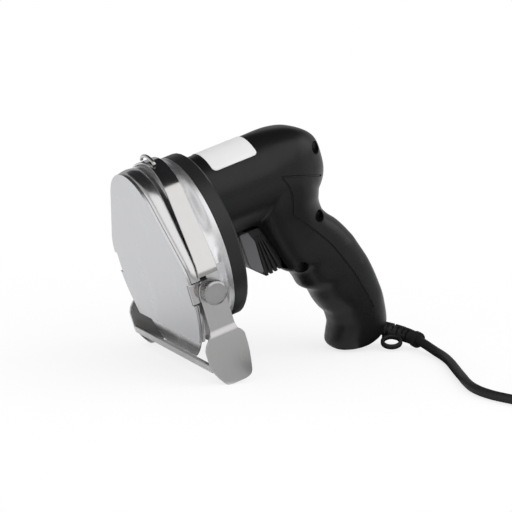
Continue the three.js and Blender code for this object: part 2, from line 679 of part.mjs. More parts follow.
function makeStator() {
  const outer = BARREL_RADIUS - HOUSING_WALL - FIT;
  const rear = CORE_FRONT + CORE_LENGTH;
  place(tool, 'stator', ring(outer, STATOR_BORE / 2, CORE_FRONT, rear, MOTOR_HEIGHT, 28), copper());
  const middle = COMMUTATOR_FRONT + COMMUTATOR_LENGTH / 2;
  const contact = COMMUTATOR_DIAMETER / 2 + FIT;
  const brushEnd = contact + 2 * BRUSH_SIZE;
  const square = (half, across) => box(
    middle - half, middle + half, ...across, MOTOR_HEIGHT - half, MOTOR_HEIGHT + half);
  for (const [word, side] of [['left', -1], ['right', 1]]) {
    const brush = square(BRUSH_SIZE / 2, sided(side, contact, brushEnd));
    place(tool, `brush_${word}`, brush, finish(0x2b2b2b, 0.7, 0.2));
    const clear = BRUSH_SIZE / 2 + FIT;
    const sleeve = square(clear + BRUSH_HOLDER_WALL, sided(side, contact + BRUSH_SIZE / 2, outer - 4 * FIT));
    const slot = square(clear, sided(side, contact, brushEnd + FIT));
    place(tool, `brush_holder_${word}`, sleeve.subtract(slot), finish(0xb08d46, 0.4, 1));
  }
}

function makeFlange() {
  const inner = CASE_REAR_RADIUS - 2 * CASE_WALL;
  const wall = FLANGE_REAR - FLANGE_WALL;
  const body = turnedX([
    [0, wall], [inner, wall], [inner, FLANGE_FRONT], [CASE_REAR_RADIUS, FLANGE_FRONT],
    [CASE_REAR_RADIUS, FLANGE_REAR - FLANGE_CHAMFER], [CASE_REAR_RADIUS - FLANGE_CHAMFER, FLANGE_REAR],
    [0, FLANGE_REAR],
  ], RING_CENTRE_HEIGHT, 44);
  const motorSeat = MOTOR_BEARING.outer / 2 + FIT;
  const motorBoss = rodX(motorSeat + BOSS_WALL, FLANGE_FRONT, FLANGE_REAR, 0, MOTOR_HEIGHT);
  const motorBore = rodX(motorSeat, 0, FLANGE_FRONT + MOTOR_BEARING.width + 2 * FIT, 0, MOTOR_HEIGHT);
  const shaftWay = rodX(SHAFT_BORE + 1, 0, FLANGE_REAR + 1, 0, MOTOR_HEIGHT, 24);
  const spindleSeat = SPINDLE_BEARING.outer / 2 + FIT;
  const spindleBoss = rodX(spindleSeat + BOSS_WALL, FLANGE_FRONT - 2, FLANGE_REAR, 0, 0);
  const spindleBore = rodX(spindleSeat, 0, SPINDLE_REAR + FIT, 0, 0);
  place(tool, 'front_flange', cut(join(body, motorBoss, spindleBoss), motorBore, shaftWay, spindleBore),
    blackPlastic());
}

// Barrel stations: distance ahead of its rear end, how far its crown and then its sides and belly
// draw in, and the squareness of its section, which is 2 for a round one
const BARREL_STATIONS = [
  [BARREL_REAR - HOUSING_FRONT, 0, 0, 2],
  [39.6, 0, 0, 2],
  [31.6, 0.3, 0, 2.25],
  [25.6, 0.8, 0.3, 2.45],
  [21.6, 1.4, 1.2, 2.57],
  [17.6, 2.3, 2.7, 2.7],
  [14.6, 3.4, 4.2, 2.8],
  [11.6, 5, 6, 2.9],
  [8.1, 7.4, 8.9, 3],
  [4.6, 10.9, 12.8, 3.1],
  [2.1, 14.7, 17, 3.2],
  [0.6, 18.9, 21, 3.2],
  [0, 22.5, 23.7, 3.2],
];

// Grip stations: front point, back point, half width as a share of the grip's
const GRIP_STATIONS = [
  [[62.5, 26], [110, 22], 1.4],
  [[63, 18], [109, 15], 1.3],
  [[64, 11], [107.5, 9], 1.19],
  [[66.3, 3], [108, 3.5], 1.09],
  [[68.8, -5], [110.5, -1.5], 1.03],
  [[71.8, -14], [115.2, -7], 1],
  [[74.4, -22], [119.5, -14], 1],
  [[76, -25], [121, -17], 1],
  [[80.6, -28.5], [122.8, -20.8], 1],
  [[82.6, -33.5], [124.3, -25.5], 1],
  [[83.8, -38.5], [126, -30.5], 1],
  [[88.9, -43.5], [127.6, -36], 1],
  [[90.6, -50.5], [129, -43], 1],
  [[93, -56.5], [130, -51], 0.99],
  [[95.8, -61.7], [130.6, -59.4], 0.98],
  [[96, -67], [130, -67.5], 0.97],
  [[93.3, -72.8], [129, -75], 0.95],
  [[91, -78.2], [126.4, -80], 0.9],
  [[93.4, -82.5], [122.5, -83.9], 0.8],
  [[99, -84.8], [116, -86.4], 0.6],
];
const GRIP_POWER = 2.5;

// Points round a superellipse, each made by the given function from its two unit offsets
function superRing(count, power, pointAt) {
  return Array.from({ length: count }, (_, i) => {
    const angle = 2 * Math.PI * i / count;
    const bend = (value) => Math.sign(value) * Math.abs(value) ** (2 / power);
    return pointAt(bend(Math.cos(angle)), bend(Math.sin(angle)));
  });
}

function barrelBody(inset) {
  const rings = BARREL_STATIONS.map(([ahead, crown, sides, power]) => {
    const height = Math.max(BARREL_RADIUS - (crown + sides) / 2 - inset, 1);
    const width = Math.max(BARREL_RADIUS - sides - inset, 1);
    const middle = MOTOR_HEIGHT + (sides - crown) / 2;
    const x = BARREL_REAR - ahead - inset;
    return superRing(28, power, (c, s) => new THREE.Vector3(x, width * s, middle + height * c));
  });
  return loft(rings);
}

function gripBody(inset) {
  const kept = inset ? GRIP_STATIONS.slice(0, -1) : GRIP_STATIONS;
  const rings = kept.map(([front, back, share]) => {
    const centre = new THREE.Vector3((front[0] + back[0]) / 2, 0, (front[1] + back[1]) / 2);
    const along = new THREE.Vector3(back[0] - front[0], 0, back[1] - front[1]);
    const half = along.length() / 2 - inset;
    along.normalize();
    const width = GRIP_HALF_WIDTH * share - inset;
    return superRing(inset ? 16 : 24, GRIP_POWER, (c, s) => {
      return centre.clone().addScaledVector(along, half * c).setY(width * s);
    });
  });
  return loft(rings);
}

// Housing screws: place of each axis in the side view
const SCREW_PLACES = [[110.8, 40], [101.5, 1.5], [83, -24]];

// Where the cord leaves the butt, in the tool frame
const EXIT_POINT = new THREE.Vector3(122, 0, -81.6);

function makeHousing(reliefHole) {
  const outer = join(barrelBody(0), gripBody(0));
  const inner = join(barrelBody(HOUSING_WALL), gripBody(HOUSING_WALL));
  const reach = 2 * BARREL_RADIUS;
  const headRadius = SCREW_HEAD / 2;
  const shankRadius = SCREW_SHANK / 2;
  const bosses = SCREW_PLACES.map(([x, z]) => rodY(headRadius + SCREW_BOSS_WALL, -reach, reach, x, z, 16));
  const seat = ring(BARREL_RADIUS - HOUSING_WALL / 2, MOTOR_BEARING.outer / 2 + FIT, REAR_BEARING + FIT,
    REAR_BEARING + MOTOR_BEARING.width - FIT, MOTOR_HEIGHT);
  const filled = join(...bosses, seat).intersect(outer);
  const half = TRIGGER_WIDTH / 2 + FIT;
  const pocket = box(
    TRIGGER_FRONT, POCKET_REAR, -half, half, POCKET_FLOOR - FIT, TRIGGER_TOP + 2 * FIT);
  const sinks = SCREW_PLACES.map(([x, z]) => rodY(headRadius + FIT, -reach, -SCREW_SINK, x, z, 16));
  const pilots = SCREW_PLACES.map(([x, z]) => rodY(shankRadius + FIT, -reach, SCREW_SINK + FIT, x, z, 12));
  const shell = cut(join(outer.subtract(inner), filled), pocket, ...sinks, ...pilots, reliefHole);
  for (const [word, side] of [['left', -1], ['right', 1]]) {
    const halfSpace = box(0, 2 * BARREL_REAR, ...sided(side, FIT / 2, reach), -BARREL_REAR, BARREL_REAR);
    place(tool, `housing_${word}`, shell.intersect(halfSpace), blackPlastic());
  }

  SCREW_PLACES.forEach(([x, z], i) => {
    const seatFace = -SCREW_SINK - FIT;
    const head = rodY(headRadius, seatFace - SCREW_HEAD_HEIGHT, seatFace, x, z, 16);
    const shank = rodY(shankRadius, seatFace - FIT, SCREW_SINK, x, z, 12);
    place(tool, `housing_screw_${i + 1}`, head.add(shank), steel());
  });
}

function makeLabel() {
  const inner = BARREL_RADIUS + FIT;
  const outer = inner + LABEL_THICKNESS;
  const shape = new THREE.Shape();
  const [from, to] = [Math.PI / 2 - LABEL_HALF_ANGLE, Math.PI / 2 + LABEL_HALF_ANGLE];
  shape.absarc(0, MOTOR_HEIGHT, outer, from, to, false);
  shape.absarc(0, MOTOR_HEIGHT, inner, to, from, true);
  shape.closePath();
  const film = slabX(shape, LABEL_FRONT, LABEL_FRONT + LABEL_LENGTH, 16);
  place(tool, 'label', film, finish(0xe6e6e4, 0.5, 0));
}

// Trigger key in the side view: corners ahead of the boot and above its foot, with their rounding
const TRIGGER_OUTLINE = [
  [9, 24.1, 1.5], [3.4, 24.1, 1], [FIT, 19.5, 1], [FIT, 0.1, 1],
  [2.2, -0.1, 0.8], [7, 4.1, 1.6], [8.4, 7.5, 1.6],
];

function makeTrigger() {
  const half = TRIGGER_WIDTH / 2;
  const face = roundedOutline(TRIGGER_OUTLINE.map(
    ([ahead, above, radius]) => [BOOT_FRONT - ahead, above - TRIGGER_DROP, radius]));
  place(tool, 'trigger', slabY(face, -half, half), finish(0x5c5d60, 0.55, 0));

  const rear = POCKET_REAR - TRIGGER_TRAVEL - POCKET_SPARE;
  const inset = BOOT_CORE_INSET;
  const ribTop = TRIGGER_TOP - BOOT_CORE_INSET - FIT;
  const core = box(BOOT_FRONT, rear, inset - half, half - inset, POCKET_FLOOR + inset, ribTop - inset);
  const pitch = (rear - BOOT_FRONT) / BOOT_RIBS;
  const ribs = Array.from({ length: BOOT_RIBS }, (_, i) => {
    const x = BOOT_FRONT + i * pitch;
    return box(x, x + pitch * BOOT_RIB_SHARE, FIT - half, half - FIT, POCKET_FLOOR + FIT, ribTop);
  });
  const tip = SWITCH_FRONT - TRIGGER_TRAVEL - FIT;
  const plunger = rodX(PLUNGER_DIAMETER / 2, rear - inset, tip, 0, PLUNGER_HEIGHT, 16);
  place(tool, 'trigger_boot', join(core, ...ribs, plunger), rubber());

  const stop = SWITCH_FRONT + SWITCH_LENGTH;
  const [low, high] = [PLUNGER_HEIGHT - 0.63 * SWITCH_HEIGHT, PLUNGER_HEIGHT + 0.37 * SWITCH_HEIGHT];
  place(tool, 'switch_body', box(SWITCH_FRONT, stop, -half, half, low, high), finish(0x3a3a3c, 0.6, 0));
}

// One side of the guide: a round-topped arm, a joggle outward and the wing below it
function guideSide(side) {
  const inner = EAR_REACH + FIT;
  const half = ARM_WIDTH / 2;
  const armFoot = KNOB_Z - ARM_LENGTH;
  const wingTop = armFoot - JOGGLE_LENGTH;
  const [front, rear] = [KNOB_X - half, KNOB_X + half];
  const arm = new THREE.Shape();
  arm.moveTo(armFoot - FIT, front);
  arm.lineTo(KNOB_Z, front);
  arm.absarc(KNOB_Z, KNOB_X, half, -Math.PI / 2, Math.PI / 2, false);
  arm.lineTo(armFoot - FIT, rear);
  arm.closePath();
  const barMiddle = BAR_RISE - WING_DROP + BAR_HEIGHT / 2;
  const wing = roundedOutline([
    [front, wingTop + FIT, 0], [WING_FRONT, wingTop - WING_SHOULDER, WING_CORNER - 1],
    [WING_FRONT, barMiddle, 2], [WING_FRONT + WING_CHAMFER, -WING_DROP, WING_CORNER],
    [WING_REAR - WING_TAPER, -WING_DROP, WING_CORNER], [WING_REAR, wingTop - WING_SHOULDER, WING_CORNER],
    [rear, wingTop + FIT, 0],
  ]);
  const bendRing = (y, z) => [[front, y], [rear, y], [rear, y + GUIDE_SHEET], [front, y + GUIDE_SHEET]]
    .map(([x, out]) => new THREE.Vector3(x, side * out, z));
  const bend = loft([bendRing(inner, armFoot), bendRing(inner + JOGGLE, wingTop)]);
  const wingSpan = sided(side, inner + JOGGLE, inner + JOGGLE + GUIDE_SHEET);
  return join(slabY(arm, ...sided(side, inner, inner + GUIDE_SHEET), 8), bend, slabY(wing, ...wingSpan));
}

function makeGuide() {
  const reach = EAR_REACH + FIT + JOGGLE + GUIDE_SHEET;
  const bottom = BAR_RISE - WING_DROP;
  const strip = box(WING_FRONT, WING_FRONT + GUIDE_SHEET, -reach, reach, bottom, bottom + BAR_HEIGHT);
  const lip = box(WING_FRONT, WING_FRONT + BAR_LIP, -reach, reach, bottom, bottom + GUIDE_SHEET);
  const whole = join(guideSide(-1), guideSide(1), strip, lip);
  return place(tool, 'thickness_guide', cut(whole, studBore(-1), studBore(1)), steel());
}

function makeKnobs() {
  const inner = EAR_REACH + FIT + GUIDE_SHEET + FIT;
  const outer = inner + KNOB_HEIGHT;
  const floor = outer - KNOB_FLOOR;
  const shape = new THREE.Shape(Array.from({ length: 2 * KNOB_GROOVES }, (_, i) => {
    const angle = Math.PI * i / KNOB_GROOVES;
    const radius = KNOB_DIAMETER / 2 - (i % 2 ? KNOB_GROOVE_DEPTH : 0);
    return new THREE.Vector2(KNOB_Z + radius * Math.cos(angle), KNOB_X + radius * Math.sin(angle));
  }));
  for (const [word, side] of [['left', -1], ['right', 1]]) {
    const bore = rodY(STUD_DIAMETER / 2 + FIT, ...sided(side, inner - FIT, floor), KNOB_X, KNOB_Z);
    place(tool, `knob_${word}`, slabY(shape, ...sided(side, inner, outer)).subtract(bore), steel());
    const stud = rodY(STUD_DIAMETER / 2, ...sided(side, STUD_ROOT + FIT, floor - FIT), KNOB_X, KNOB_Z);
    place(tool, `stud_${word}`, stud, steel());
  }
}

// The lowest height of a mesh once the tool is tipped nose-down by an angle
function lowest(mesh, tilt) {
  const p = mesh.geometry.attributes.position;
  let least = Infinity;
  for (let i = 0; i < p.count; i += 1) {
    least = Math.min(least, p.getX(i) * Math.sin(tilt) + p.getZ(i) * Math.cos(tilt));
  }
  return least;
}

function restTilt(front, back) {
  let [low, high] = [0, Math.PI / 4];
  for (let i = 0; i < 50; i += 1) {
    const middle = (low + high) / 2;
    if (lowest(front, middle) > lowest(back, middle)) low = middle;
    else high = middle;
  }
  return (low + high) / 2;
}

makeCover();
makeClips();
makeStrap();
makeBail();
makeGearCase();
makeSpindle();
makeDrive();
makeFan();
makeStator();
makeFlange();
makeLabel();
makeTrigger();
makeKnobs();
const guide = makeGuide();

// The butt alone settles the tilt, before the relief's hole is cut
const butt = new THREE.Mesh(geometryOf(gripBody(0)));
const TILT = restTilt(guide, butt);
tool.rotation.y = -TILT;
tool.updateMatrixWorld(true);

// Way of the relief and the cord in the standing frame, for a heading toward the tool's left
function wayAt(heading) {
  const flat = Math.cos(RELIEF_PITCH);
  return new THREE.Vector3(
    Math.cos(heading) * flat, -Math.sin(heading) * flat, -Math.sin(RELIEF_PITCH));
}

function reliefHole() {
  const back = tool.matrixWorld.clone().invert();
  const way = wayAt(RELIEF_ROOT_HEADING).transformDirection(back);
  const ends = [-2 * RELIEF_SEAT, RELIEF_LENGTH].map((s) => EXIT_POINT.clone().addScaledVector(way, s));
  const radius = RELIEF_ROOT_DIAMETER / 2 + FIT;
  return tube(ends, [radius, radius], 16);
}

makeHousing(reliefHole());
const bounds = new THREE.Box3().setFromObject(tool, true);
const middle = bounds.getCenter(new THREE.Vector3());
tool.position.set(-middle.x, -middle.y, -bounds.min.z);
tool.updateMatrixWorld(true);

// Relief: a tapered sleeve that bends from the butt toward the tool's left, with a hanging ear
function makeRelief() {
  const root = RELIEF_ROOT_DIAMETER / 2;
  const tip = RELIEF_TIP_DIAMETER / 2;
  const steps = 12;
  const headingAt = (s) => THREE.MathUtils.lerp(
    RELIEF_ROOT_HEADING, RELIEF_TIP_HEADING, Math.max(s, 0) / RELIEF_LENGTH);
  const at = EXIT_POINT.clone().applyMatrix4(tool.matrixWorld);
  const points = [at.clone().addScaledVector(wayAt(RELIEF_ROOT_HEADING), -RELIEF_SEAT), at.clone()];
  const radii = [root, root];
  for (let i = 1; i <= steps; i += 1) {
    at.addScaledVector(wayAt(headingAt((i - 0.5) * RELIEF_LENGTH / steps)), RELIEF_LENGTH / steps);
    points.push(at.clone());
    radii.push(i > steps - 2 ? tip + RELIEF_COLLAR : THREE.MathUtils.lerp(root, tip, i / (steps - 2)));
  }
  const way = wayAt(headingAt(RELIEF_LENGTH / 2));
  const out = new THREE.Vector3(0, 0, 1).cross(way).negate().normalize().applyAxisAngle(way, HANG_DROOP);
  const normal = new THREE.Vector3().crossVectors(way, out);
  const outer = HANG_HOLE / 2 + HANG_WALL;
  const ear = new THREE.Shape();
  ear.absarc(0, tip + outer, outer, 0, Math.PI, false);
  ear.lineTo(-outer, 0);
  ear.lineTo(outer, 0);
  ear.closePath();
  ear.holes.push(new THREE.Path().absarc(0, tip + outer, HANG_HOLE / 2, 0, 2 * Math.PI, true));
  const options = { depth: HANG_THICKNESS, bevelEnabled: false, curveSegments: 6 };
  const tab = new THREE.ExtrudeGeometry(ear, options).translate(0, 0, -HANG_THICKNESS / 2);
  const halfway = points[Math.ceil(points.length / 2)];
  const frame = new THREE.Matrix4().makeBasis(way, out, normal).setPosition(halfway);
  place(lead, 'strain_relief', tube(points, radii, 12).add(solid(tab.applyMatrix4(frame))), rubber());
}

makeRelief();

const CORD_POINTS = CORD_ROUTE.map((point) => new THREE.Vector3(...point));
const CORD_END = CORD_POINTS[CORD_POINTS.length - 1];
const CORD_WAY = CORD_END.clone().sub(CORD_POINTS[CORD_POINTS.length - 2]).setZ(0).normalize();
const CORD_LEFT = new THREE.Vector3(-CORD_WAY.y, CORD_WAY.x, 0);
const COIL_START = CORD_END.clone().addScaledVector(CORD_WAY, FIT);
const COIL_TANGENT = COIL_START.clone().addScaledVector(CORD_WAY, CORD_DIAMETER);
const COIL_CENTRE = COIL_TANGENT.clone().addScaledVector(CORD_LEFT, COIL_RADIUS);
const COIL_END = COIL_TANGENT.clone().addScaledVector(CORD_WAY, COIL_LEAD);
COIL_END.z += COIL_LAYER;

function makeCord() {
  const run = sweep(new THREE.CatmullRomCurve3(CORD_POINTS), CORD_DIAMETER / 2, 8, 30);
  place(lead, 'cord_run', run, rubber());
}

// Coil: spirals in on the lower layer, climbs as it turns round, and spirals out above
function coilPoint(turn) {
  const inward = Math.min(turn, 2 * COIL_TURNS - turn);
  const radius = COIL_RADIUS - COIL_PITCH * inward;
  const angle = 2 * Math.PI * turn;
  const climb = THREE.MathUtils.smoothstep(turn, COIL_TURNS - 0.25, COIL_TURNS + 0.25);
  return COIL_CENTRE.clone()
    .addScaledVector(CORD_LEFT, -radius * Math.cos(angle))
    .addScaledVector(CORD_WAY, radius * Math.sin(angle))
    .add(new THREE.Vector3(0, 0, COIL_LAYER * climb));
}

// Least clear distance between stretches of the coil that lie more than three diameters apart
function coilGap() {
  const perTurn = 120;
  const points = Array.from({ length: 2 * COIL_TURNS * perTurn + 1 }, (_, i) => coilPoint(i / perTurn));
  const innerTurn = 2 * Math.PI * (COIL_RADIUS - COIL_PITCH * COIL_TURNS);
  const apart = Math.ceil(3 * CORD_DIAMETER * perTurn / innerTurn);
  let least = Infinity;
  points.forEach((a, i) => {
    for (let j = i + apart; j < points.length; j += 1) least = Math.min(least, a.distanceTo(points[j]));
  });
  return least - CORD_DIAMETER;
}

function makeCoil() {
  const perTurn = 24;
  const count = 2 * COIL_TURNS * perTurn;
  const turns = Array.from({ length: count + 1 }, (_, i) => coilPoint(i / perTurn));
  const points = [COIL_START, ...turns, COIL_END];
  place(lead, 'cord_coil', tube(points, points.map(() => CORD_DIAMETER / 2), 6), rubber());
  console.log(`coil clears itself by ${coilGap().toFixed(2)} mm`);
}

// Tie: a band round the stack of turns on the far side from the leads
function makeTie() {
  const middle = COIL_RADIUS - COIL_PITCH * COIL_TURNS / 2;
  const half = COIL_PITCH * (COIL_TURNS - 1) / 2 + CORD_DIAMETER / 2 + TIE_PLAY;
  const tall = COIL_LAYER / 2 + CORD_DIAMETER / 2 + TIE_PLAY / 2;
  const band = new THREE.Shape();
  const outline = (path, w, h) => {
    path.moveTo(-w, -h);
    path.lineTo(w, -h);
    path.lineTo(w, h);
    path.lineTo(-w, h);
    path.closePath();
    return path;
  };
  outline(band, half + TIE_THICKNESS, tall + TIE_THICKNESS);
  band.holes.push(outline(new THREE.Path(), half, tall));
  const geometry = new THREE.ExtrudeGeometry(band, { depth: TIE_WIDTH, bevelEnabled: false });
  const seat = COIL_CENTRE.clone().addScaledVector(CORD_LEFT, middle);
  seat.z += COIL_LAYER / 2;
  const frame = new THREE.Matrix4().makeBasis(CORD_LEFT, new THREE.Vector3(0, 0, 1), CORD_WAY.clone());
  geometry.translate(0, 0, -TIE_WIDTH / 2).applyMatrix4(frame.setPosition(seat));
  place(lead, 'cord_tie', solid(geometry), rubber());
}

function makePlug() {
  const start = COIL_END.clone().addScaledVector(CORD_WAY, FIT);
  const neck = CORD_DIAMETER;
  const [wide, high] = [PLUG_HALF_WIDTH, PLUG_HALF_HEIGHT];
  const stations = [
    [0, neck, neck], [PLUG_NECK_LENGTH, neck + PLUG_EDGE, neck + PLUG_EDGE],
    [PLUG_SHOULDER - 3 * PLUG_EDGE, wide - PLUG_EDGE, high - PLUG_EDGE], [PLUG_SHOULDER, wide, high],
    [PLUG_LENGTH - 2 * PLUG_EDGE, wide, high], [PLUG_LENGTH, wide - PLUG_EDGE, high - PLUG_EDGE],
  ];
  const body = loft(stations.map(([along, across, up]) => superRing(24, 3, (c, s) => start.clone()
    .addScaledVector(CORD_WAY, along)
    .addScaledVector(CORD_LEFT, across * c)
    .add(new THREE.Vector3(0, 0, up * s)))));
  place(lead, 'plug_body', body, rubber());
  [-1, 1].forEach((side, i) => {
    const root = start.clone().addScaledVector(CORD_WAY, PLUG_LENGTH + FIT);
    root.addScaledVector(CORD_LEFT, side * PLUG_PIN_SPACING / 2);
    const tip = root.clone().addScaledVector(CORD_WAY, PLUG_PIN_LENGTH);
    const radius = PLUG_PIN_DIAMETER / 2;
    place(lead, `plug_pin_${i + 1}`, tube([root, tip], [radius, radius], 12), steel());
  });
}

makeCord();
makeCoil();
makeTie();
makePlug();

const part = new THREE.Group();
part.add(tool, lead);

export default part;
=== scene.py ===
import math

import bmesh
import bpy
import numpy as np
from mathutils import Matrix, Quaternion, Vector
from mathutils.bvhtree import BVHTree


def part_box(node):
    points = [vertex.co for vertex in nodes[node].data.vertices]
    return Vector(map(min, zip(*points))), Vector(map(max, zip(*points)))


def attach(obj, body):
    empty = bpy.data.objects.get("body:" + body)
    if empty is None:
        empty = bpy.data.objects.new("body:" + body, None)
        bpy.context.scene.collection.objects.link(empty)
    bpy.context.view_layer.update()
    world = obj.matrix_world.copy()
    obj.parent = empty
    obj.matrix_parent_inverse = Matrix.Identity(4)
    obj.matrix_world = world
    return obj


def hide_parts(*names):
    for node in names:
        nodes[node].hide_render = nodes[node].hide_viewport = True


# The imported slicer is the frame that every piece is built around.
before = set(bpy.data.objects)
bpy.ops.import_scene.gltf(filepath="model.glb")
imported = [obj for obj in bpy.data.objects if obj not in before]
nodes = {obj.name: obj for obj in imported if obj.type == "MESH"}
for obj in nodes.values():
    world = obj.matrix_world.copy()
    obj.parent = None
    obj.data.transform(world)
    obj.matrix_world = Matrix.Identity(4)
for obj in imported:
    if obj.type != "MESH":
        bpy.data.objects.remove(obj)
scene = bpy.context.scene
scene.view_settings.view_transform = "Standard"
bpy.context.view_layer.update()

# The camera looks from the slicer's left front, a little from above, through a long lens.
# It stands about 1.4 m away, as the fit of the round parts in the photograph gave it.
camera_data = bpy.data.cameras.new("camera")
camera_data.lens = 174.6
camera = bpy.data.objects.new("camera", camera_data)
camera.location = (-0.58164, -1.27741, 0.32464)
camera.rotation_mode = "QUATERNION"
look = Vector((0.40730, 0.89417, -0.18592))
roll = Quaternion((0.0, 0.0, 1.0), math.radians(0.47))
camera.rotation_quaternion = look.to_track_quat("-Z", "Y") @ roll
scene.collection.objects.link(camera)
scene.camera = camera

# A white table top in a white room, lit by large soft boxes.
# Mirror surfaces see the room grey, with a dark ceiling toward the far side.
# That gives the steel its dark streaks.
WHITE = (1.0, 1.0, 1.0, 1.0)
AMBIENT = (0.78, 0.785, 0.79, 1.0)
MIRRORED_ROOM = (0.44, 0.44, 0.44, 1.0)
MIRRORED_CEILING = (0.02, 0.02, 0.022, 1.0)
CEILING = (0.1, 0.45, 0.888)
CEILING_EDGE = (0.76, 0.78)


def colour_mix(tree, share, first, second):
    mix = tree.nodes.new("ShaderNodeMix")
    mix.data_type = "RGBA"
    tree.links.new(share, mix.inputs[0])
    for socket, given in ((mix.inputs[6], first), (mix.inputs[7], second)):
        if isinstance(given, tuple):
            socket.default_value = given
        else:
            tree.links.new(given, socket)
    return mix.outputs[2]


def ranged(tree, value, low, high, to_low=0.0, to_high=1.0, ramp="LINEAR"):
    span = tree.nodes.new("ShaderNodeMapRange")
    span.interpolation_type = ramp
    span.inputs["From Min"].default_value = low
    span.inputs["From Max"].default_value = high
    span.inputs["To Min"].default_value = to_low
    span.inputs["To Max"].default_value = to_high
    tree.links.new(value, span.inputs["Value"])
    return span.outputs[0]


def worked_out(tree, kind, operation, *given):
    node = tree.nodes.new(kind)
    node.operation = operation
    for socket, value in zip(node.inputs, given):
        if isinstance(value, tuple):
            socket.default_value = value
        else:
            tree.links.new(value, socket)
    return node.outputs


world = bpy.data.worlds.new("studio")
scene.world = world
world.use_nodes = True
tree = world.node_tree
tree.nodes.clear()
path = tree.nodes.new("ShaderNodeLightPath").outputs
seen = worked_out(
    tree, "ShaderNodeMath", "MAXIMUM", path["Is Camera Ray"], path["Is Transmission Ray"]
)
toward = tree.nodes.new("ShaderNodeTexCoord").outputs["Generated"]
overhead = worked_out(tree, "ShaderNodeVectorMath", "DOT_PRODUCT", toward, CEILING)
shaded = ranged(tree, overhead["Value"], *CEILING_EDGE, ramp="SMOOTHSTEP")
mirrored = colour_mix(tree, shaded, MIRRORED_ROOM, MIRRORED_CEILING)
ambient = colour_mix(tree, path["Is Glossy Ray"], AMBIENT, mirrored)
room = tree.nodes.new("ShaderNodeBackground")
room.inputs["Strength"].default_value = 1.0
tree.links.new(colour_mix(tree, seen[0], ambient, WHITE), room.inputs["Color"])
out = tree.nodes.new("ShaderNodeOutputWorld")
tree.links.new(room.outputs[0], out.inputs["Surface"])


def studio_card(name, low, high, height, colour):
    mesh = bpy.data.meshes.new(name)
    corners = [(low[0], low[1]), (high[0], low[1]), (high[0], high[1]), (low[0], high[1])]
    mesh.from_pydata([(x, y, height) for x, y in corners], [], [(0, 1, 2, 3)])
    card = bpy.data.objects.new(name, mesh)
    scene.collection.objects.link(card)
    mat = bpy.data.materials.new(name)
    mat.use_nodes = True
    mat.node_tree.nodes.clear()
    face = mat.node_tree.nodes.new("ShaderNodeBsdfDiffuse")
    face.inputs["Color"].default_value = (*colour, 1.0)
    end = mat.node_tree.nodes.new("ShaderNodeOutputMaterial")
    mat.node_tree.links.new(face.outputs[0], end.inputs["Surface"])
    mesh.materials.append(mat)
    return card, mat.node_tree, face, end


CLEAN_FROM = 0.12
CLEAN_TO = 0.32
CLEAN_SHARE = 0.75
tree, face, end = studio_card("table", (-6, -6), (6, 6), -0.0002, (0.96, 0.96, 0.96))[1:]
glow = tree.nodes.new("ShaderNodeEmission")
glow.inputs["Color"].default_value = WHITE
spot = tree.nodes.new("ShaderNodeTexCoord").outputs["Object"]
away = worked_out(tree, "ShaderNodeVectorMath", "LENGTH", spot)
clean = ranged(tree, away["Value"], CLEAN_FROM, CLEAN_TO, to_low=CLEAN_SHARE)
path = tree.nodes.new("ShaderNodeLightPath").outputs
share = worked_out(tree, "ShaderNodeMath", "MULTIPLY", path["Is Camera Ray"], clean)
blend = tree.nodes.new("ShaderNodeMixShader")
for socket, given in zip(blend.inputs, (share[0], face.outputs[0], glow.outputs[0])):
    tree.links.new(given, socket)
tree.links.new(blend.outputs[0], end.inputs["Surface"])

# Cards on the table, seen only as reflections, are painted reflection and painted shadow that keep
# the upright steel from washing out.
# The grey one is a painted dimmer reflection of the table before the slicer. The black ones are
# painted shadow that darkens the reflections of its underside, where the table lies in shade.
for name, low, high, height, grey in (
    ("card_near", (-1.4, -1.6), (1.4, -0.06), 0.0002, 0.56),
    ("card_under", (-0.02, -0.1), (0.14, -0.055), 0.0004, 0.03),
    ("card_grip", (0.062, -0.055), (0.14, 0.05), 0.0004, 0.03),
    ("card_between", (-0.045, -0.035), (0.012, 0.05), 0.0004, 0.04),
):
    card = studio_card(name, low, high, height, (grey, grey, grey))[0]
    card.visible_camera = False
    card.visible_diffuse = False
    card.visible_shadow = False

# A large soft box hangs over the camera's side, with a small one at each end of the slicer.
# All three point at the middle of the footprint.
for name, place, size, power in (
    ("key", (0.15, -1.15, 1.35), 2.0, 9.4),
    ("left", (-1.4, -0.5, 0.8), 1.0, 2.0),
    ("right", (1.3, -0.3, 0.95), 1.0, 3.2),
):
    lamp = bpy.data.lights.new(name, "AREA")
    lamp.size = size
    lamp.energy = power
    lamp_object = bpy.data.objects.new(name, lamp)
    lamp_object.location = place
    lamp_object.rotation_mode = "QUATERNION"
    lamp_object.rotation_quaternion = (-Vector(place)).to_track_quat("-Z", "Y")
    scene.collection.objects.link(lamp_object)

# The flex is round black PVC cable, 5.4 mm thick and 1.45 m long.
# It leaves the butt along the table, and the rest is wound in two layers out of view.
# Its first end is moulded into the strain relief.
CORD = 0.0054
ROUTE = [
    (0.09512, -0.0205, 0.00605), (0.0953, -0.0225, 0.0059), (0.0959, -0.0284, 0.005),
    (0.0963, -0.041, 0.0033), (0.095, -0.0535, 0.0029), (0.092, -0.066, 0.0029),
    (0.088, -0.0785, 0.0029), (0.084, -0.0905, 0.0029), (0.08, -0.103, 0.0029),
    (0.076, -0.1155, 0.0029), (0.0735, -0.128, 0.0029), (0.074, -0.141, 0.0029),
    (0.078, -0.1535, 0.0029), (0.0845, -0.165, 0.0029), (0.0935, -0.174, 0.003),
    (0.104, -0.1806, 0.0034), (0.115, -0.1854, 0.004), (0.1262, -0.1906, 0.0041),
]
COIL_RADIUS = 0.041
COIL_TURNS = 3
COIL_PITCH = 0.0061
COIL_LAYER = 0.0059
COIL_ENTRY = 0.0057
COIL_LEAD = 0.024
FLEX_IN_PLUG = 0.003
POINTS_PER_TURN = 24


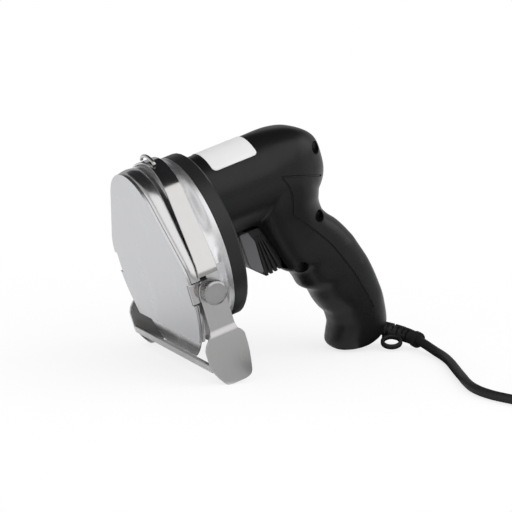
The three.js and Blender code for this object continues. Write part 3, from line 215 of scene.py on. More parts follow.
def grain_group():
    group = bpy.data.node_groups.new("grain", "ShaderNodeTree")
    group.interface.new_socket("Scale", in_out="INPUT", socket_type="NodeSocketFloat")
    group.interface.new_socket("Stretch", in_out="INPUT", socket_type="NodeSocketVector")
    group.interface.new_socket("Lean", in_out="INPUT", socket_type="NodeSocketFloat")
    group.interface.new_socket("Mask", in_out="OUTPUT", socket_type="NodeSocketFloat")
    group.interface.new_socket("Height", in_out="OUTPUT", socket_type="NodeSocketFloat")
    start = group.nodes.new("NodeGroupInput")
    place = group.nodes.new("ShaderNodeTexCoord")
    lean = group.nodes.new("ShaderNodeVectorRotate")
    lean.rotation_type = "Y_AXIS"
    stretch = group.nodes.new("ShaderNodeVectorMath")
    stretch.operation = "MULTIPLY"
    fine = group.nodes.new("ShaderNodeTexNoise")
    fine.inputs["Detail"].default_value = 4.0
    coarse = group.nodes.new("ShaderNodeTexNoise")
    coarse.inputs["Scale"].default_value = 45.0
    coarse.inputs["Detail"].default_value = 3.0
    both = group.nodes.new("ShaderNodeMix")
    both.inputs[0].default_value = 0.4
    end = group.nodes.new("NodeGroupOutput")
    link = group.links.new
    link(place.outputs["Object"], lean.inputs["Vector"])
    link(start.outputs["Lean"], lean.inputs["Angle"])
    link(lean.outputs[0], stretch.inputs[0])
    link(start.outputs["Stretch"], stretch.inputs[1])
    link(stretch.outputs[0], fine.inputs["Vector"])
    link(start.outputs["Scale"], fine.inputs["Scale"])
    link(place.outputs["Object"], coarse.inputs["Vector"])
    link(fine.outputs["Fac"], both.inputs[2])
    link(coarse.outputs["Fac"], both.inputs[3])
    link(both.outputs[0], end.inputs["Mask"])
    link(fine.outputs["Fac"], end.inputs["Height"])
    return group


GRAIN = grain_group()
GRAIN_SPAN = (0.3, 0.7)
LEAN = math.radians(17.785)


def finish(
    name,
    colour,
    roughness,
    metallic=0.0,
    scale=900.0,
    stretch=(1.0, 1.0, 1.0),
    tint=0.12,
    spread=0.1,
    relief=0.1,
    depth=0.0002,
    specular=0.5,
):
    mat = bpy.data.materials.new(name)
    mat.use_nodes = True
    tree = mat.node_tree
    surface = tree.nodes["Principled BSDF"]
    surface.inputs["Metallic"].default_value = metallic
    surface.inputs["Specular IOR Level"].default_value = specular
    grain = tree.nodes.new("ShaderNodeGroup")
    grain.node_tree = GRAIN
    grain.inputs["Scale"].default_value = scale
    grain.inputs["Stretch"].default_value = stretch
    grain.inputs["Lean"].default_value = LEAN
    dark = (*(c * (1 - tint) for c in colour), 1.0)
    light = (*(min(1.0, c * (1 + tint)) for c in colour), 1.0)
    shade = colour_mix(tree, grain.outputs["Mask"], dark, light)
    smooth = max(0.02, roughness - spread)
    dull = min(1.0, roughness + spread)
    gloss = ranged(tree, grain.outputs["Mask"], *GRAIN_SPAN, smooth, dull)
    bump = tree.nodes.new("ShaderNodeBump")
    bump.name = "bump"
    bump.inputs["Strength"].default_value = relief
    bump.inputs["Distance"].default_value = depth
    link = tree.links.new
    link(shade, surface.inputs["Base Color"])
    link(gloss, surface.inputs["Roughness"])
    link(grain.outputs["Height"], bump.inputs["Height"])
    link(bump.outputs[0], surface.inputs["Normal"])
    return mat


RUBBER = finish(
    "black_rubber", (0.014, 0.014, 0.015), 0.5, scale=1600.0, relief=0.12, specular=0.35
)

route = [Vector(p) for p in ROUTE]
way = route[-1] - route[-2]
way.z = 0.0
way.normalize()
left = Vector((-way.y, way.x, 0.0))
tangent = route[-1] + way * COIL_ENTRY
coil_centre = tangent + left * COIL_RADIUS
line = list(route)
for i in range(2 * COIL_TURNS * POINTS_PER_TURN + 1):
    turn = i / POINTS_PER_TURN
    radius = COIL_RADIUS - COIL_PITCH * min(turn, 2 * COIL_TURNS - turn)
    rise = min(1.0, max(0.0, (turn - COIL_TURNS) * 2 + 0.5))
    rise = rise * rise * (3 - 2 * rise)
    angle = 2 * math.pi * turn
    point = coil_centre - left * radius * math.cos(angle) + way * radius * math.sin(angle)
    point.z = tangent.z + COIL_LAYER * rise
    line.append(point)
flex_end = tangent + way * COIL_LEAD
flex_end.z += COIL_LAYER
line += [(line[-1] + flex_end) / 2, flex_end + way * FLEX_IN_PLUG]

flex_data = bpy.data.curves.new("flex", "CURVE")
flex_data.dimensions = "3D"
flex_data.bevel_depth = CORD / 2
flex_data.bevel_resolution = 4
flex_data.resolution_u = 6
flex_data.use_fill_caps = True
spline = flex_data.splines.new("BEZIER")
spline.bezier_points.add(len(line) - 1)
for knot, point in zip(spline.bezier_points, line):
    knot.co = point
    knot.handle_left_type = "AUTO"
    knot.handle_right_type = "AUTO"
flex_data.materials.append(RUBBER)
flex = bpy.data.objects.new("flex", flex_data)
scene.collection.objects.link(flex)

# The plug is a moulded black body with two plated pins, and a band holds the coil together.
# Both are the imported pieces, merged, with their moulded edges eased.
PLATING = finish(
    "pin_plating", (0.75, 0.72, 0.62), 0.22, metallic=1.0, scale=500.0, relief=0.03
)


def dressed(node, material, body, edge=0.0003):
    crease = math.radians(35.0)
    mesh = nodes[node].data.copy()
    mesh.name = node + "_skin"
    bm = bmesh.new()
    bm.from_mesh(mesh)
    bmesh.ops.remove_doubles(bm, verts=bm.verts, dist=2e-6)
    bmesh.ops.dissolve_limit(
        bm, angle_limit=math.radians(0.4), verts=bm.verts, edges=bm.edges
    )
    bm.to_mesh(mesh)
    bm.free()
    mesh.shade_smooth()
    mesh.set_sharp_from_angle(angle=crease)
    mesh.materials.clear()
    mesh.materials.append(material)
    skin = bpy.data.objects.new(mesh.name, mesh)
    scene.collection.objects.link(skin)
    ease = skin.modifiers.new("eased_edges", "BEVEL")
    ease.width = edge
    ease.segments = 2
    ease.limit_method = "ANGLE"
    ease.angle_limit = crease
    ease.harden_normals = True
    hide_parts(node)
    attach(skin, body)
    return skin


plug = dressed("plug_body", RUBBER, "body", edge=0.0006)
tie = dressed("cord_tie", RUBBER, "body")
pins = [dressed(f"plug_pin_{i}", PLATING, "body") for i in (1, 2)]
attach(flex, "body")
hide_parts("cord_run", "cord_coil")

# The strain relief is a tapered rubber sleeve with slots cut from alternate sides.
# It ends in a thicker collar and carries a flat ear to hang the slicer by.
# It is moulded round the flex and held in the butt between the two housing halves.
RELIEF_ROOT = Vector((0.07788, 0.0, 0.01007))
RELIEF_LENGTH = 0.03
RELIEF_STEPS = 150
RELIEF_BURIED = 12
RELIEF_HEADING = 20.0
RELIEF_SWING = 64.0
RELIEF_PITCH = math.radians(8.0)
RELIEF_RADIUS = 0.0052
RELIEF_TAPER = 0.0012
COLLAR_LENGTH = 0.0032
COLLAR_RADIUS = 0.0048
SLOT_PITCH = 0.0036
SLOT_WIDTH = 0.0013
SLOT_DEPTH = 0.0016
SLOTS_FROM = 0.002
SLOTS_TO = RELIEF_LENGTH - 0.005
SLOT_BRIDGE = 0.35
EAR_CENTRE = Vector((0.08170, -0.01427, 0.00445))
EAR_NORMAL = Vector((0.18900, 0.31362, -0.93055)).normalized()
EAR_RADIUS = 0.00535
EAR_HALF_WALL = 0.0011
EAR_HALF_THICK = 0.0015
WEB_HALF = 0.0032
WEB_FLARE = 0.0012
WEB_REACH = 0.7


def loft(name, rings, material, sharp=35.0, capped=True):
    count = len(rings[0])
    verts = [tuple(p) for ring in rings for p in ring]
    faces = [
        (i * count + k, i * count + (k + 1) % count,
         (i + 1) * count + (k + 1) % count, (i + 1) * count + k)
        for i in range(len(rings) - 1)
        for k in range(count)
    ]
    if capped:
        faces.append(tuple(range(count))[::-1])
        faces.append(tuple((len(rings) - 1) * count + k for k in range(count)))
    mesh = bpy.data.meshes.new(name)
    mesh.from_pydata(verts, [], faces)
    bm = bmesh.new()
    bm.from_mesh(mesh)
    bmesh.ops.remove_doubles(bm, verts=bm.verts, dist=1e-7)
    bmesh.ops.recalc_face_normals(bm, faces=bm.faces)
    bm.to_mesh(mesh)
    bm.free()
    mesh.shade_smooth()
    mesh.set_sharp_from_angle(angle=math.radians(sharp))
    mesh.materials.append(material)
    loose = bpy.data.objects.new(name, mesh)
    scene.collection.objects.link(loose)
    return loose


def joined(name, parts, sharp=35.0):
    whole = bmesh.new()
    for part in parts:
        whole.from_mesh(part.data)
    mesh = bpy.data.meshes.new(name)
    whole.to_mesh(mesh)
    whole.free()
    for mat in parts[0].data.materials:
        mesh.materials.append(mat)
    mesh.set_sharp_from_angle(angle=math.radians(sharp))
    one = bpy.data.objects.new(name, mesh)
    scene.collection.objects.link(one)
    for part in parts:
        bpy.data.objects.remove(part)
    return one


def superellipse(count, power):
    turn = np.arange(count) * 2 * math.pi / count
    across = np.sign(np.cos(turn)) * np.abs(np.cos(turn)) ** (2 / power)
    along = np.sign(np.sin(turn)) * np.abs(np.sin(turn)) ** (2 / power)
    return list(zip(across, along))


rings = []
at = RELIEF_ROOT.copy()
for i in range(-RELIEF_BURIED, RELIEF_STEPS + 1):
    part = i / RELIEF_STEPS
    heading = math.radians(RELIEF_HEADING + RELIEF_SWING * max(0.0, part))
    ahead = Vector((
        math.cos(heading) * math.cos(RELIEF_PITCH),
        -math.sin(heading) * math.cos(RELIEF_PITCH),
        -math.sin(RELIEF_PITCH),
    ))
    steps = 1 if i > -RELIEF_BURIED else -RELIEF_BURIED
    at = at + ahead * (steps * RELIEF_LENGTH / RELIEF_STEPS)
    if i == RELIEF_STEPS // 2:
        ear_at = at.copy()
    side = ahead.cross(Vector((0, 0, 1))).normalized()
    up = side.cross(ahead)
    along = part * RELIEF_LENGTH
    radius = RELIEF_RADIUS - RELIEF_TAPER * max(0.0, part)
    if along > RELIEF_LENGTH - COLLAR_LENGTH:
        radius = COLLAR_RADIUS
    slotted = SLOTS_FROM < along < SLOTS_TO and (along % SLOT_PITCH) < SLOT_WIDTH
    turned_slot = int(along // SLOT_PITCH) % 2
    ring = []
    for c, s in superellipse(40, 2.0):
        reach = radius
        if slotted and abs(s if turned_slot else c) > SLOT_BRIDGE:
            reach -= SLOT_DEPTH
        ring.append(at + side * reach * c + up * reach * s)
    rings.append(ring)
sleeve = loft("sleeve", rings, RUBBER, sharp=30.0)

ear_out = (EAR_CENTRE - ear_at).normalized()
ear_side = EAR_NORMAL.cross(ear_out)
rings = []
for turn in np.linspace(0, 2 * math.pi, 65):
    spoke = ear_out * math.cos(turn) + ear_side * math.sin(turn)
    rings.append([
        EAR_CENTRE + spoke * (EAR_RADIUS + EAR_HALF_WALL * c) + EAR_NORMAL * (EAR_HALF_THICK * s)
        for c, s in superellipse(16, 3.3)
    ])
ear = loft("ear", rings, RUBBER, capped=False)
foot = EAR_CENTRE - ear_out * EAR_RADIUS
rings = []
for part in (0.0, 0.5, 1.0):
    centre = foot + (ear_at - foot) * part * WEB_REACH
    half = WEB_HALF + WEB_FLARE * part
    rings.append([
        centre + ear_side * (half * c) + EAR_NORMAL * (EAR_HALF_THICK * s)
        for c, s in superellipse(16, 4.0)
    ])
web = loft("web", rings, RUBBER)
relief = joined("strain_relief_skin", [sleeve, ear, web])
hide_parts("strain_relief")
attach(relief, "body")

# The gear case is an aluminium die casting, left as cast with a fine mottled skin.
# It runs from the cover's shield outline to a round ring at the back, where the handle bolts on.
# It carries the spindle in a hub and, at each side, an ear for one of the guide's studs.
CAST = finish(
    "cast_alloy", (0.78, 0.78, 0.79), 0.4, metallic=1.0, scale=900.0,
    tint=0.16, spread=0.08, relief=0.16, depth=0.0002,
)
STAND = Matrix.Translation((-0.063214, 0.0, 0.050508)) @ Matrix.Rotation(-LEAN, 4, "Y")
TOP_RADIUS = 0.0365
TOP_HEIGHT = 0.0632
SIDE_RADIUS = 0.024
HALF_WIDTH = 0.056
SIDE_HEIGHT = 0.0039
LOWER_RADIUS = 0.057
CASE_DROP = 0.04
CASE_WAIST = 0.0025
CASE_FRONT = 0.012
CASE_REAR = 0.0292
RING_RADIUS = 0.0488
RING_HEIGHT = 0.0132
OUTLINE_STEP = 0.0008
OUTLINE_STRAIGHT = 0.003
STRAP_END = 0.0084
STRAP_FRONT = 0.0062
STRAP_SLOPE = 0.14
STRAP_WIDTH = 0.012
STRAP_NARROWING = 0.0024
CASE_SPOKES = 240
CASE_FIT = 0.0003
CASE_LIP = 0.002
CASE_BORE = 0.039
CASE_BORE_HEIGHT = 0.009
CASE_WALL = 0.003
HUB_RADIUS = 0.0143
HUB_SEAT = 0.0113
HUB_BORE = 0.00515
HUB_FRONT = 0.01
HUB_FLOOR = 0.0115
HUB_REAR = 0.0188
HUB_WAY = 0.0141
STUD_EAR_LOW = (0.007, 0.044, -0.0082)
STUD_EAR_HIGH = (0.015, 0.0538, 0.0058)


def shield(inset, drop):
    top = TOP_HEIGHT - TOP_RADIUS
    side = HALF_WIDTH - SIDE_RADIUS
    low = HALF_WIDTH - LOWER_RADIUS
    rise = top - SIDE_HEIGHT
    flank = math.atan2(side, rise) - math.asin((TOP_RADIUS - SIDE_RADIUS) / math.hypot(side, rise))
    lower = math.asin((SIDE_HEIGHT + drop) / LOWER_RADIUS)
    points = []
    for y, z, radius, start, stop in (
        (low, SIDE_HEIGHT, LOWER_RADIUS, -lower, 0),
        (side, SIDE_HEIGHT, SIDE_RADIUS, 0, flank),
        (0, top, TOP_RADIUS, flank, math.pi - flank),
        (-side, SIDE_HEIGHT, SIDE_RADIUS, math.pi - flank, math.pi),
        (-low, SIDE_HEIGHT, LOWER_RADIUS, math.pi, math.pi + lower),
    ):
        for a in np.linspace(start, stop, 2 + int(radius * (stop - start) / OUTLINE_STEP)):
            points.append((y + (radius - inset) * math.cos(a), z + (radius - inset) * math.sin(a)))
    whole = [points[0]]
    for a, b in zip(points, points[1:]):
        gap = math.dist(a, b)
        count = round(gap / OUTLINE_STEP) if gap > OUTLINE_STRAIGHT else 1
        whole += [
            (a[0] + (b[0] - a[0]) * i / count, a[1] + (b[1] - a[1]) * i / count)
            for i in range(1, count + 1)
        ]
    return whole


def strap_front(z):
    return STRAP_FRONT + STRAP_SLOPE * (z - STRAP_END)


def strap_rear(z):
    part = (z - STRAP_END) / (TOP_HEIGHT - STRAP_END)
    return strap_front(z) + STRAP_WIDTH - STRAP_NARROWING * part


def reach_of(outline, angles):
    flat = np.array(outline)
    chord = np.linspace(flat[-1], flat[0], 60)[1:-1]
    flat = np.vstack([flat, chord])
    heading = np.arctan2(flat[:, 0], flat[:, 1] - RING_HEIGHT)
    radius = np.hypot(flat[:, 0], flat[:, 1] - RING_HEIGHT)
    return np.interp(angles, heading, radius, period=2 * math.pi)


def turned(name, profile, material, centre, axis, sides=96, sharp=35.0):
    axis = Vector(axis)
    across = Vector((0, 0, 1))
    third = axis.cross(across)
    spokes = [
        across * math.cos(2 * math.pi * k / sides) + third * math.sin(2 * math.pi * k / sides)
        for k in range(sides)
    ]
    rings = [
        [Vector(centre) + axis * along + spoke * radius for spoke in spokes]
        for radius, along in profile
    ]
    closed = profile[0] == profile[-1]
    return loft(name, rings, material, sharp, capped=not closed)


def settled(thing):
    graph = bpy.context.evaluated_depsgraph_get()
    mesh = bpy.data.meshes.new_from_object(thing.evaluated_get(graph))
    thing.modifiers.clear()
    old = thing.data
    thing.data = mesh
    bpy.data.meshes.remove(old)
    return thing


def carved(thing, cutters, sharp=35.0):
    cutter = joined("cutter", cutters)
    carve = thing.modifiers.new("carve", "BOOLEAN")
    carve.operation = "DIFFERENCE"
    carve.object = cutter
    carve.solver = "EXACT"
    carve.use_self = True
    settled(thing)
    bpy.data.objects.remove(cutter)
    thing.data.shade_smooth()
    thing.data.set_sharp_from_angle(angle=math.radians(sharp))
    return thing


def seated(piece, body, slot, *replaced):
    piece.data.transform(STAND)
    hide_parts(*replaced)
    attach(piece, body)
    return piece


def block(name, low, high, material, edge):
    mesh = bpy.data.meshes.new(name)
    bm = bmesh.new()
    bmesh.ops.create_cube(bm, size=1.0)
    size = Vector(high) - Vector(low)
    bmesh.ops.scale(bm, vec=size, verts=bm.verts)
    bmesh.ops.translate(bm, vec=(Vector(low) + Vector(high)) / 2, verts=bm.verts)
    bmesh.ops.bevel(bm, geom=bm.edges, offset=edge, segments=3, profile=0.5, affect="EDGES")
    bm.to_mesh(mesh)
    bm.free()
    mesh.shade_smooth()
    mesh.set_sharp_from_angle(angle=math.radians(50.0))
    mesh.materials.append(material)
    solid = bpy.data.objects.new(name, mesh)
    scene.collection.objects.link(solid)
    return solid


angles = np.arange(CASE_SPOKES) * 2 * math.pi / CASE_SPOKES
fore = reach_of(shield(-CASE_FIT, CASE_DROP), angles)
heights = RING_HEIGHT + fore * np.cos(angles)
waist = reach_of(shield(CASE_WAIST, CASE_DROP), angles)
fore = np.where(heights > STRAP_END + CASE_LIP, fore, waist)
heights = RING_HEIGHT + fore * np.cos(angles)
band_rear = CASE_REAR - CASE_LIP
starts = strap_rear(heights) + CASE_FIT
rings = []
for part in (None, 0.0, 0.15, 0.3, 0.45, 0.6, 0.75, 0.88, 1.0, None):
    ring = []
    for angle, reach, start in zip(angles, fore, starts):
        if part is None:
            x = CASE_REAR if rings else CASE_FRONT
            radius = RING_RADIUS if rings else reach
        else:
            x = start + (band_rear - start) * part
            radius = reach + (RING_RADIUS - reach) * part * part * (3 - 2 * part)
        ring.append((x, radius * math.sin(angle), RING_HEIGHT + radius * math.cos(angle)))
    rings.append(ring)
shell = loft("case_shell", rings, CAST, sharp=40.0)
cavity = turned(
    "cavity", [(CASE_BORE, CASE_FRONT + CASE_WALL), (CASE_BORE, CASE_REAR + 0.002)],
    CAST, (0, 0, CASE_BORE_HEIGHT), (1, 0, 0),
)
hub_way = turned(
    "way", [(HUB_WAY, CASE_FRONT - 0.001), (HUB_WAY, 0.016)], CAST, (0, 0, 0), (1, 0, 0)
)
shell = carved(shell, [cavity, hub_way], sharp=40.0)
hub = turned(
    "hub",
    [(HUB_BORE, HUB_FRONT), (HUB_RADIUS, HUB_FRONT), (HUB_RADIUS, HUB_REAR), (HUB_SEAT, HUB_REAR),
     (HUB_SEAT, HUB_FLOOR), (HUB_BORE, HUB_FLOOR), (HUB_BORE, HUB_FRONT)],
    CAST, (0, 0, 0), (1, 0, 0),
)
ears = []
for side in (-1, 1):
    near, far = sorted((side * STUD_EAR_LOW[1], side * STUD_EAR_HIGH[1]))
    low = (STUD_EAR_LOW[0], near, STUD_EAR_LOW[2])
    high = (STUD_EAR_HIGH[0], far, STUD_EAR_HIGH[2])
    ears.append(block("ear_block", low, high, CAST, 0.001))
case = joined("gear_case_skin", [shell, hub, *ears], sharp=40.0)
seated(case, "body", "cast_alloy", "gear_case")

# The guard strap is a band of polished stainless sheet, bent over the case behind the blade.
# The bail on top is a bent steel wire that folds back to let the cover go.
POLISHED = finish(
    "polished_steel", (0.60, 0.59, 0.585), 0.12, metallic=1.0, scale=260.0,
    stretch=(1.0, 1.0, 0.12), tint=0.06, spread=0.04, relief=0.03,
)
STRAP_INNER = 0.0006
STRAP_OUTER = 0.0018
STRAP_EDGE = 0.00025
rings = []
for outside, inside in zip(shield(-STRAP_OUTER, 0.03), shield(-STRAP_INNER, 0.03)):
    if inside[1] < STRAP_END:
        continue
    outside, inside = Vector(outside), Vector(inside)
    front, rear = strap_front(outside.y), strap_rear(outside.y)
    ring = []
    for x, part in (
        (front + STRAP_EDGE, 0.0), (rear - STRAP_EDGE, 0.0), (rear, 0.2), (rear, 0.8),
        (rear - STRAP_EDGE, 1.0), (front + STRAP_EDGE, 1.0), (front, 0.8), (front, 0.2),
    ):
        y, z = outside.lerp(inside, part)
        ring.append((x, y, z))
    rings.append(ring)
strap = loft("guard_strap_skin", rings, POLISHED)
seated(strap, "body", "steel", "guard_strap")

BAIL_X = 0.017
BAIL_FOOT = 0.0658
BAIL_SPAN = 0.019
BAIL_RISE = 0.0024
BAIL_WIRE = 0.001
line = []
for turn in np.linspace(0, math.pi, 49):
    y = -BAIL_SPAN / 2 * math.cos(turn)
    fall = TOP_RADIUS - math.sqrt(TOP_RADIUS ** 2 - y * y)
    line.append(Vector((BAIL_X, y, BAIL_FOOT + BAIL_RISE * math.sin(turn) - fall)))
rings = []
for i, p in enumerate(line):
    ahead = (line[min(i + 1, len(line) - 1)] - line[max(i - 1, 0)]).normalized()
    side = Vector((1, 0, 0))
    up = ahead.cross(side)
    rings.append([p + (side * c + up * s) * BAIL_WIRE for c, s in superellipse(20, 2.0)])
bail = loft("strap_bail_skin", rings, POLISHED)
seated(bail, "bail", "steel", "strap_bail")

# The blade is a round ground steel disc with a bevelled edge, held by a screw on the spindle.
# The spindle, its bearings and the gears are turned steel and stay inside the case.
GROUND = finish(
    "ground_steel", (0.84, 0.84, 0.85), 0.24, metallic=1.0, scale=900.0,
    stretch=(1.0, 1.0, 0.3), tint=0.08, spread=0.08, relief=0.05,
)
BLADE_RADIUS = 0.05
BLADE_BORE = 0.00415
BLADE_FRONT = 0.0032
BLADE_REAR = 0.0052
BLADE_EDGE = 0.0037
BLADE_CORNER = 0.0001
BEVEL_ROOT = 0.041
blade = turned(
    "blade_skin",
    [(BLADE_BORE, BLADE_FRONT), (BLADE_RADIUS - BLADE_CORNER, BLADE_FRONT),
     (BLADE_RADIUS, BLADE_FRONT + BLADE_CORNER), (BLADE_RADIUS, BLADE_EDGE),
     (BEVEL_ROOT, BLADE_REAR), (BLADE_BORE, BLADE_REAR), (BLADE_BORE, BLADE_FRONT)],
    GROUND, (0, 0, 0), (1, 0, 0), sides=240, sharp=8.0,
)
seated(blade, "rotor", "steel", "blade")
dressed("blade_screw", GROUND, "rotor", edge=0.0002)
for node in (
    "spindle", "spindle_bearing_front", "spindle_bearing_rear", "drive_gear", "motor_pinion",
    "armature_shaft", "motor_bearing_front", "motor_bearing_rear",
):
    nodes[node].data.materials.clear()
    nodes[node].data.materials.append(GROUND)

# The cover is a shield of brushed stainless sheet with a thin rim, clipped on over the blade.
# The rim is a rolled band that is deeper at the top, with a narrow lip below the side notches.
# The clips in the notches are springs of folded sheet, fixed to the case's ears.
BRUSHED = finish(
    "brushed_plate", (0.595, 0.595, 0.605), 0.34, metallic=1.0, scale=620.0,
    stretch=(1.0, 1.0, 0.02), tint=0.10, spread=0.10, relief=0.06,
)
COVER_DROP = 0.0307
NOTCH_HALF = 0.006
NOTCH_INNER = 0.0518
PLATE_THICK = 0.0015
PLATE_EDGE = 0.0001
nominal = shield(0.0, COVER_DROP)
rings = []
for x, inset in ((0.0, PLATE_EDGE), (0.00003, 0.00003), (PLATE_EDGE, 0.0), (PLATE_THICK, 0.0)):
    ring = []
    before = None
    for (y0, z0), (y, z) in zip(nominal, shield(inset, COVER_DROP)):
        cut_out = abs(z0) < NOTCH_HALF
        if cut_out and before is False:
            side = math.copysign(1.0, y0)
            low = math.copysign(NOTCH_HALF + inset, ring[-1][2])
            for reach, height in ((HALF_WIDTH - inset, low), (NOTCH_INNER - inset, low),
                                  (NOTCH_INNER - inset, -low), (HALF_WIDTH - inset, -low)):
                ring.append((x, side * reach, height))
        if not cut_out:
            ring.append((x, y, z))
        before = cut_out
    rings.append(ring)
plate = loft("cover_plate_skin", rings, BRUSHED, sharp=12.0)
seated(plate, "cover", "brushed_plate", "cover_plate")

ROLLED = finish(
    "rolled_rim", (0.64, 0.635, 0.64), 0.22, metallic=1.0, scale=260.0,
    stretch=(1.0, 1.0, 0.12), tint=0.06, spread=0.06, relief=0.03,
)
RIM_WALL = 0.0012
RIM_FOOT = 0.0063
RIM_FRONT = 0.0018
RIM_REAR = 0.0074
RIM_GAIN = 0.0032
RIM_BASE = 0.006
RIM_SWELL = 0.65
LIP_REAR = 0.0038
LIP_SWELL = 0.05
LIP_SLIM = 0.0026
LIP_FULL = -0.0115
LIP_TAPER = 0.002
bands = []
for band in ("top", "left", "right"):
    swell = RIM_SWELL if band == "top" else LIP_SWELL
    rings = []
    for outside, inside in zip(nominal, shield(RIM_WALL, COVER_DROP)):
        outside, inside = Vector(outside), Vector(inside)
        side = "left" if outside.x < 0 else "right"
        if band == "top" and outside.y > RIM_FOOT:
            rear = RIM_REAR + RIM_GAIN * (outside.y - RIM_BASE) / (TOP_HEIGHT - RIM_BASE)
        elif band == side and outside.y < -RIM_FOOT:
            full = min(1.0, max(0.0, (LIP_FULL - outside.y) / LIP_TAPER))
            rear = LIP_SLIM + (LIP_REAR - LIP_SLIM) * full
        else:
            continue
        deep = rear - RIM_FRONT
        profile = [
            (RIM_FRONT, 0.6), (RIM_FRONT + 0.01 * deep, 0.25), (RIM_FRONT + 0.06 * deep, 0.05)
        ]
        for part in np.linspace(0.12, 0.9, 8):
            profile.append((RIM_FRONT + deep * part, -swell * math.sin(math.pi * part)))
        profile += [
            (rear - 0.04 * deep, 0.05), (rear, 0.3), (rear, 0.8),
            (rear - 0.04 * deep, 1.0), (RIM_FRONT, 1.0),
        ]
        ring = []
        for x, part in profile:
            y, z = outside.lerp(inside, part)
            ring.append((x, y, z))
        rings.append(ring)
    bands.append(loft("rim_" + band, rings, ROLLED))
rim = joined("cover_rim_skin", bands)
seated(rim, "cover", "steel", "cover_rim")
for side in ("left", "right"):
    dressed(f"cover_clip_{side}", POLISHED, "body", edge=0.0002)

# The motor's core is a stack of varnished iron sheets, with a copper commutator.
# The brushes are carbon in black moulded holders, and the fan is moulded too.
IRON = finish("core_iron", (0.20, 0.19, 0.19), 0.45, metallic=0.9, scale=700.0)
COPPER = finish("winding_copper", (0.62, 0.27, 0.12), 0.3, metallic=1.0, scale=600.0)
CARBON = finish("brush_carbon", (0.03, 0.03, 0.032), 0.6, scale=1200.0)
SATIN = finish(
    "black_flange", (0.013, 0.013, 0.0135), 0.42, scale=1300.0, relief=0.2, specular=0.4
)
for material, names in (
    (IRON, ("armature_core", "stator")),
    (COPPER, ("commutator",)),
    (CARBON, ("brush_left", "brush_right")),
    (SATIN, ("fan", "brush_holder_left", "brush_holder_right", "switch_body")),
):
    for node in names:
        nodes[node].data.materials.clear()
        nodes[node].data.materials.append(material)

# The front flange is a ring of black moulded plastic between the case and the handle.
# It is a little duller than the handle, with a fine moulded skin.
dressed("front_flange", SATIN, "body", edge=0.0006)

# The housing is two black glass-filled nylon halves that meet on the middle plane.
# The barrel runs smoothly into a pistol grip with finger hollows and a back strap panel.
# Three screws in deep bores hold the halves together.
PLASTIC = finish(
    "black_housing", (0.0065, 0.0065, 0.007), 0.34, scale=1500.0, relief=0.16, specular=0.35
)
SEAM_HALF = 0.0001
SEAM_SLOPE = 0.0002
plastic_tree = PLASTIC.node_tree
seam_at = plastic_tree.nodes.new("ShaderNodeTexCoord").outputs["Object"]
seam_split = plastic_tree.nodes.new("ShaderNodeSeparateXYZ")
plastic_tree.links.new(seam_at, seam_split.inputs[0])
seam_away = worked_out(plastic_tree, "ShaderNodeMath", "ABSOLUTE", seam_split.outputs["Y"])
seam = ranged(plastic_tree, seam_away[0], SEAM_HALF, SEAM_HALF + SEAM_SLOPE)
bump_height = plastic_tree.nodes["bump"].inputs["Height"]
grain_height = bump_height.links[0].from_socket
seam_height = worked_out(plastic_tree, "ShaderNodeMath", "MULTIPLY", grain_height, seam)
plastic_tree.links.new(seam_height[0], bump_height)

MOTOR_HEIGHT = 0.0325
BARREL_RADIUS = 0.0253
BARREL_REAR = 0.1176
BARREL = [
    (0.0787, 0, 0, 2), (0.0396, 0, 0, 2), (0.0316, 0.0003, 0, 2.25), (0.0256, 0.0008, 0.0003, 2.45),
    (0.0216, 0.0014, 0.0012, 2.57), (0.0176, 0.0023, 0.0027, 2.7), (0.0146, 0.0033, 0.0042, 2.8),
    (0.0116, 0.0048, 0.0059, 2.9), (0.0081, 0.0069, 0.0086, 3), (0.0046, 0.0099, 0.0123, 3.1),
    (0.0021, 0.0133, 0.0163, 3.2), (0.0006, 0.0171, 0.0202, 3.2), (0, 0.0208, 0.023, 3.2),
]
GRIP = [
    (0.0625, 0.026, 0.110, 0.022, 1.4), (0.063, 0.018, 0.109, 0.015, 1.3),
    (0.064, 0.011, 0.1075, 0.009, 1.19), (0.0663, 0.003, 0.108, 0.0035, 1.09),
    (0.0688, -0.005, 0.1105, -0.0015, 1.03), (0.0718, -0.014, 0.1152, -0.007, 1),
    (0.0744, -0.022, 0.1195, -0.014, 1), (0.076, -0.025, 0.121, -0.017, 1),
    (0.0806, -0.0285, 0.1228, -0.0208, 1), (0.0826, -0.0335, 0.1243, -0.0255, 1),
    (0.0838, -0.0385, 0.126, -0.0305, 1), (0.0889, -0.0435, 0.1276, -0.036, 1),
    (0.0906, -0.0505, 0.129, -0.043, 1), (0.093, -0.0565, 0.130, -0.051, 0.99),
    (0.0958, -0.0617, 0.1306, -0.0594, 0.98), (0.096, -0.067, 0.130, -0.0675, 0.97),
    (0.0933, -0.0728, 0.129, -0.075, 0.95), (0.091, -0.0782, 0.1264, -0.080, 0.9),
    (0.0934, -0.0825, 0.1225, -0.0839, 0.8), (0.099, -0.0848, 0.116, -0.0864, 0.6),
]
GRIP_HALF_WIDTH = 0.0175
GRIP_POWER = 2.5
HOUSING_VOXEL = 0.0007


def eased(knots, values, at):
    step = np.diff(knots)[:, None]
    slope = np.diff(values, axis=0) / step
    rising = slope[1:] * slope[:-1]
    total = slope[1:] + slope[:-1]
    inner = np.where(rising > 0, 2 * rising / np.where(total == 0, 1, total), 0.0)
    lean = np.vstack([slope[:1], inner, slope[-1:]])
    i = np.clip(np.searchsorted(knots, at, side="right") - 1, 0, len(knots) - 2)
    t = ((at - knots[i]) / (knots[i + 1] - knots[i]))[:, None]
    h = step[i]
    return (
        values[i] * (1 + 2 * t) * (1 - t) ** 2 + lean[i] * h * t * (1 - t) ** 2
        + values[i + 1] * t * t * (3 - 2 * t) + lean[i + 1] * h * t * t * (t - 1)
    )


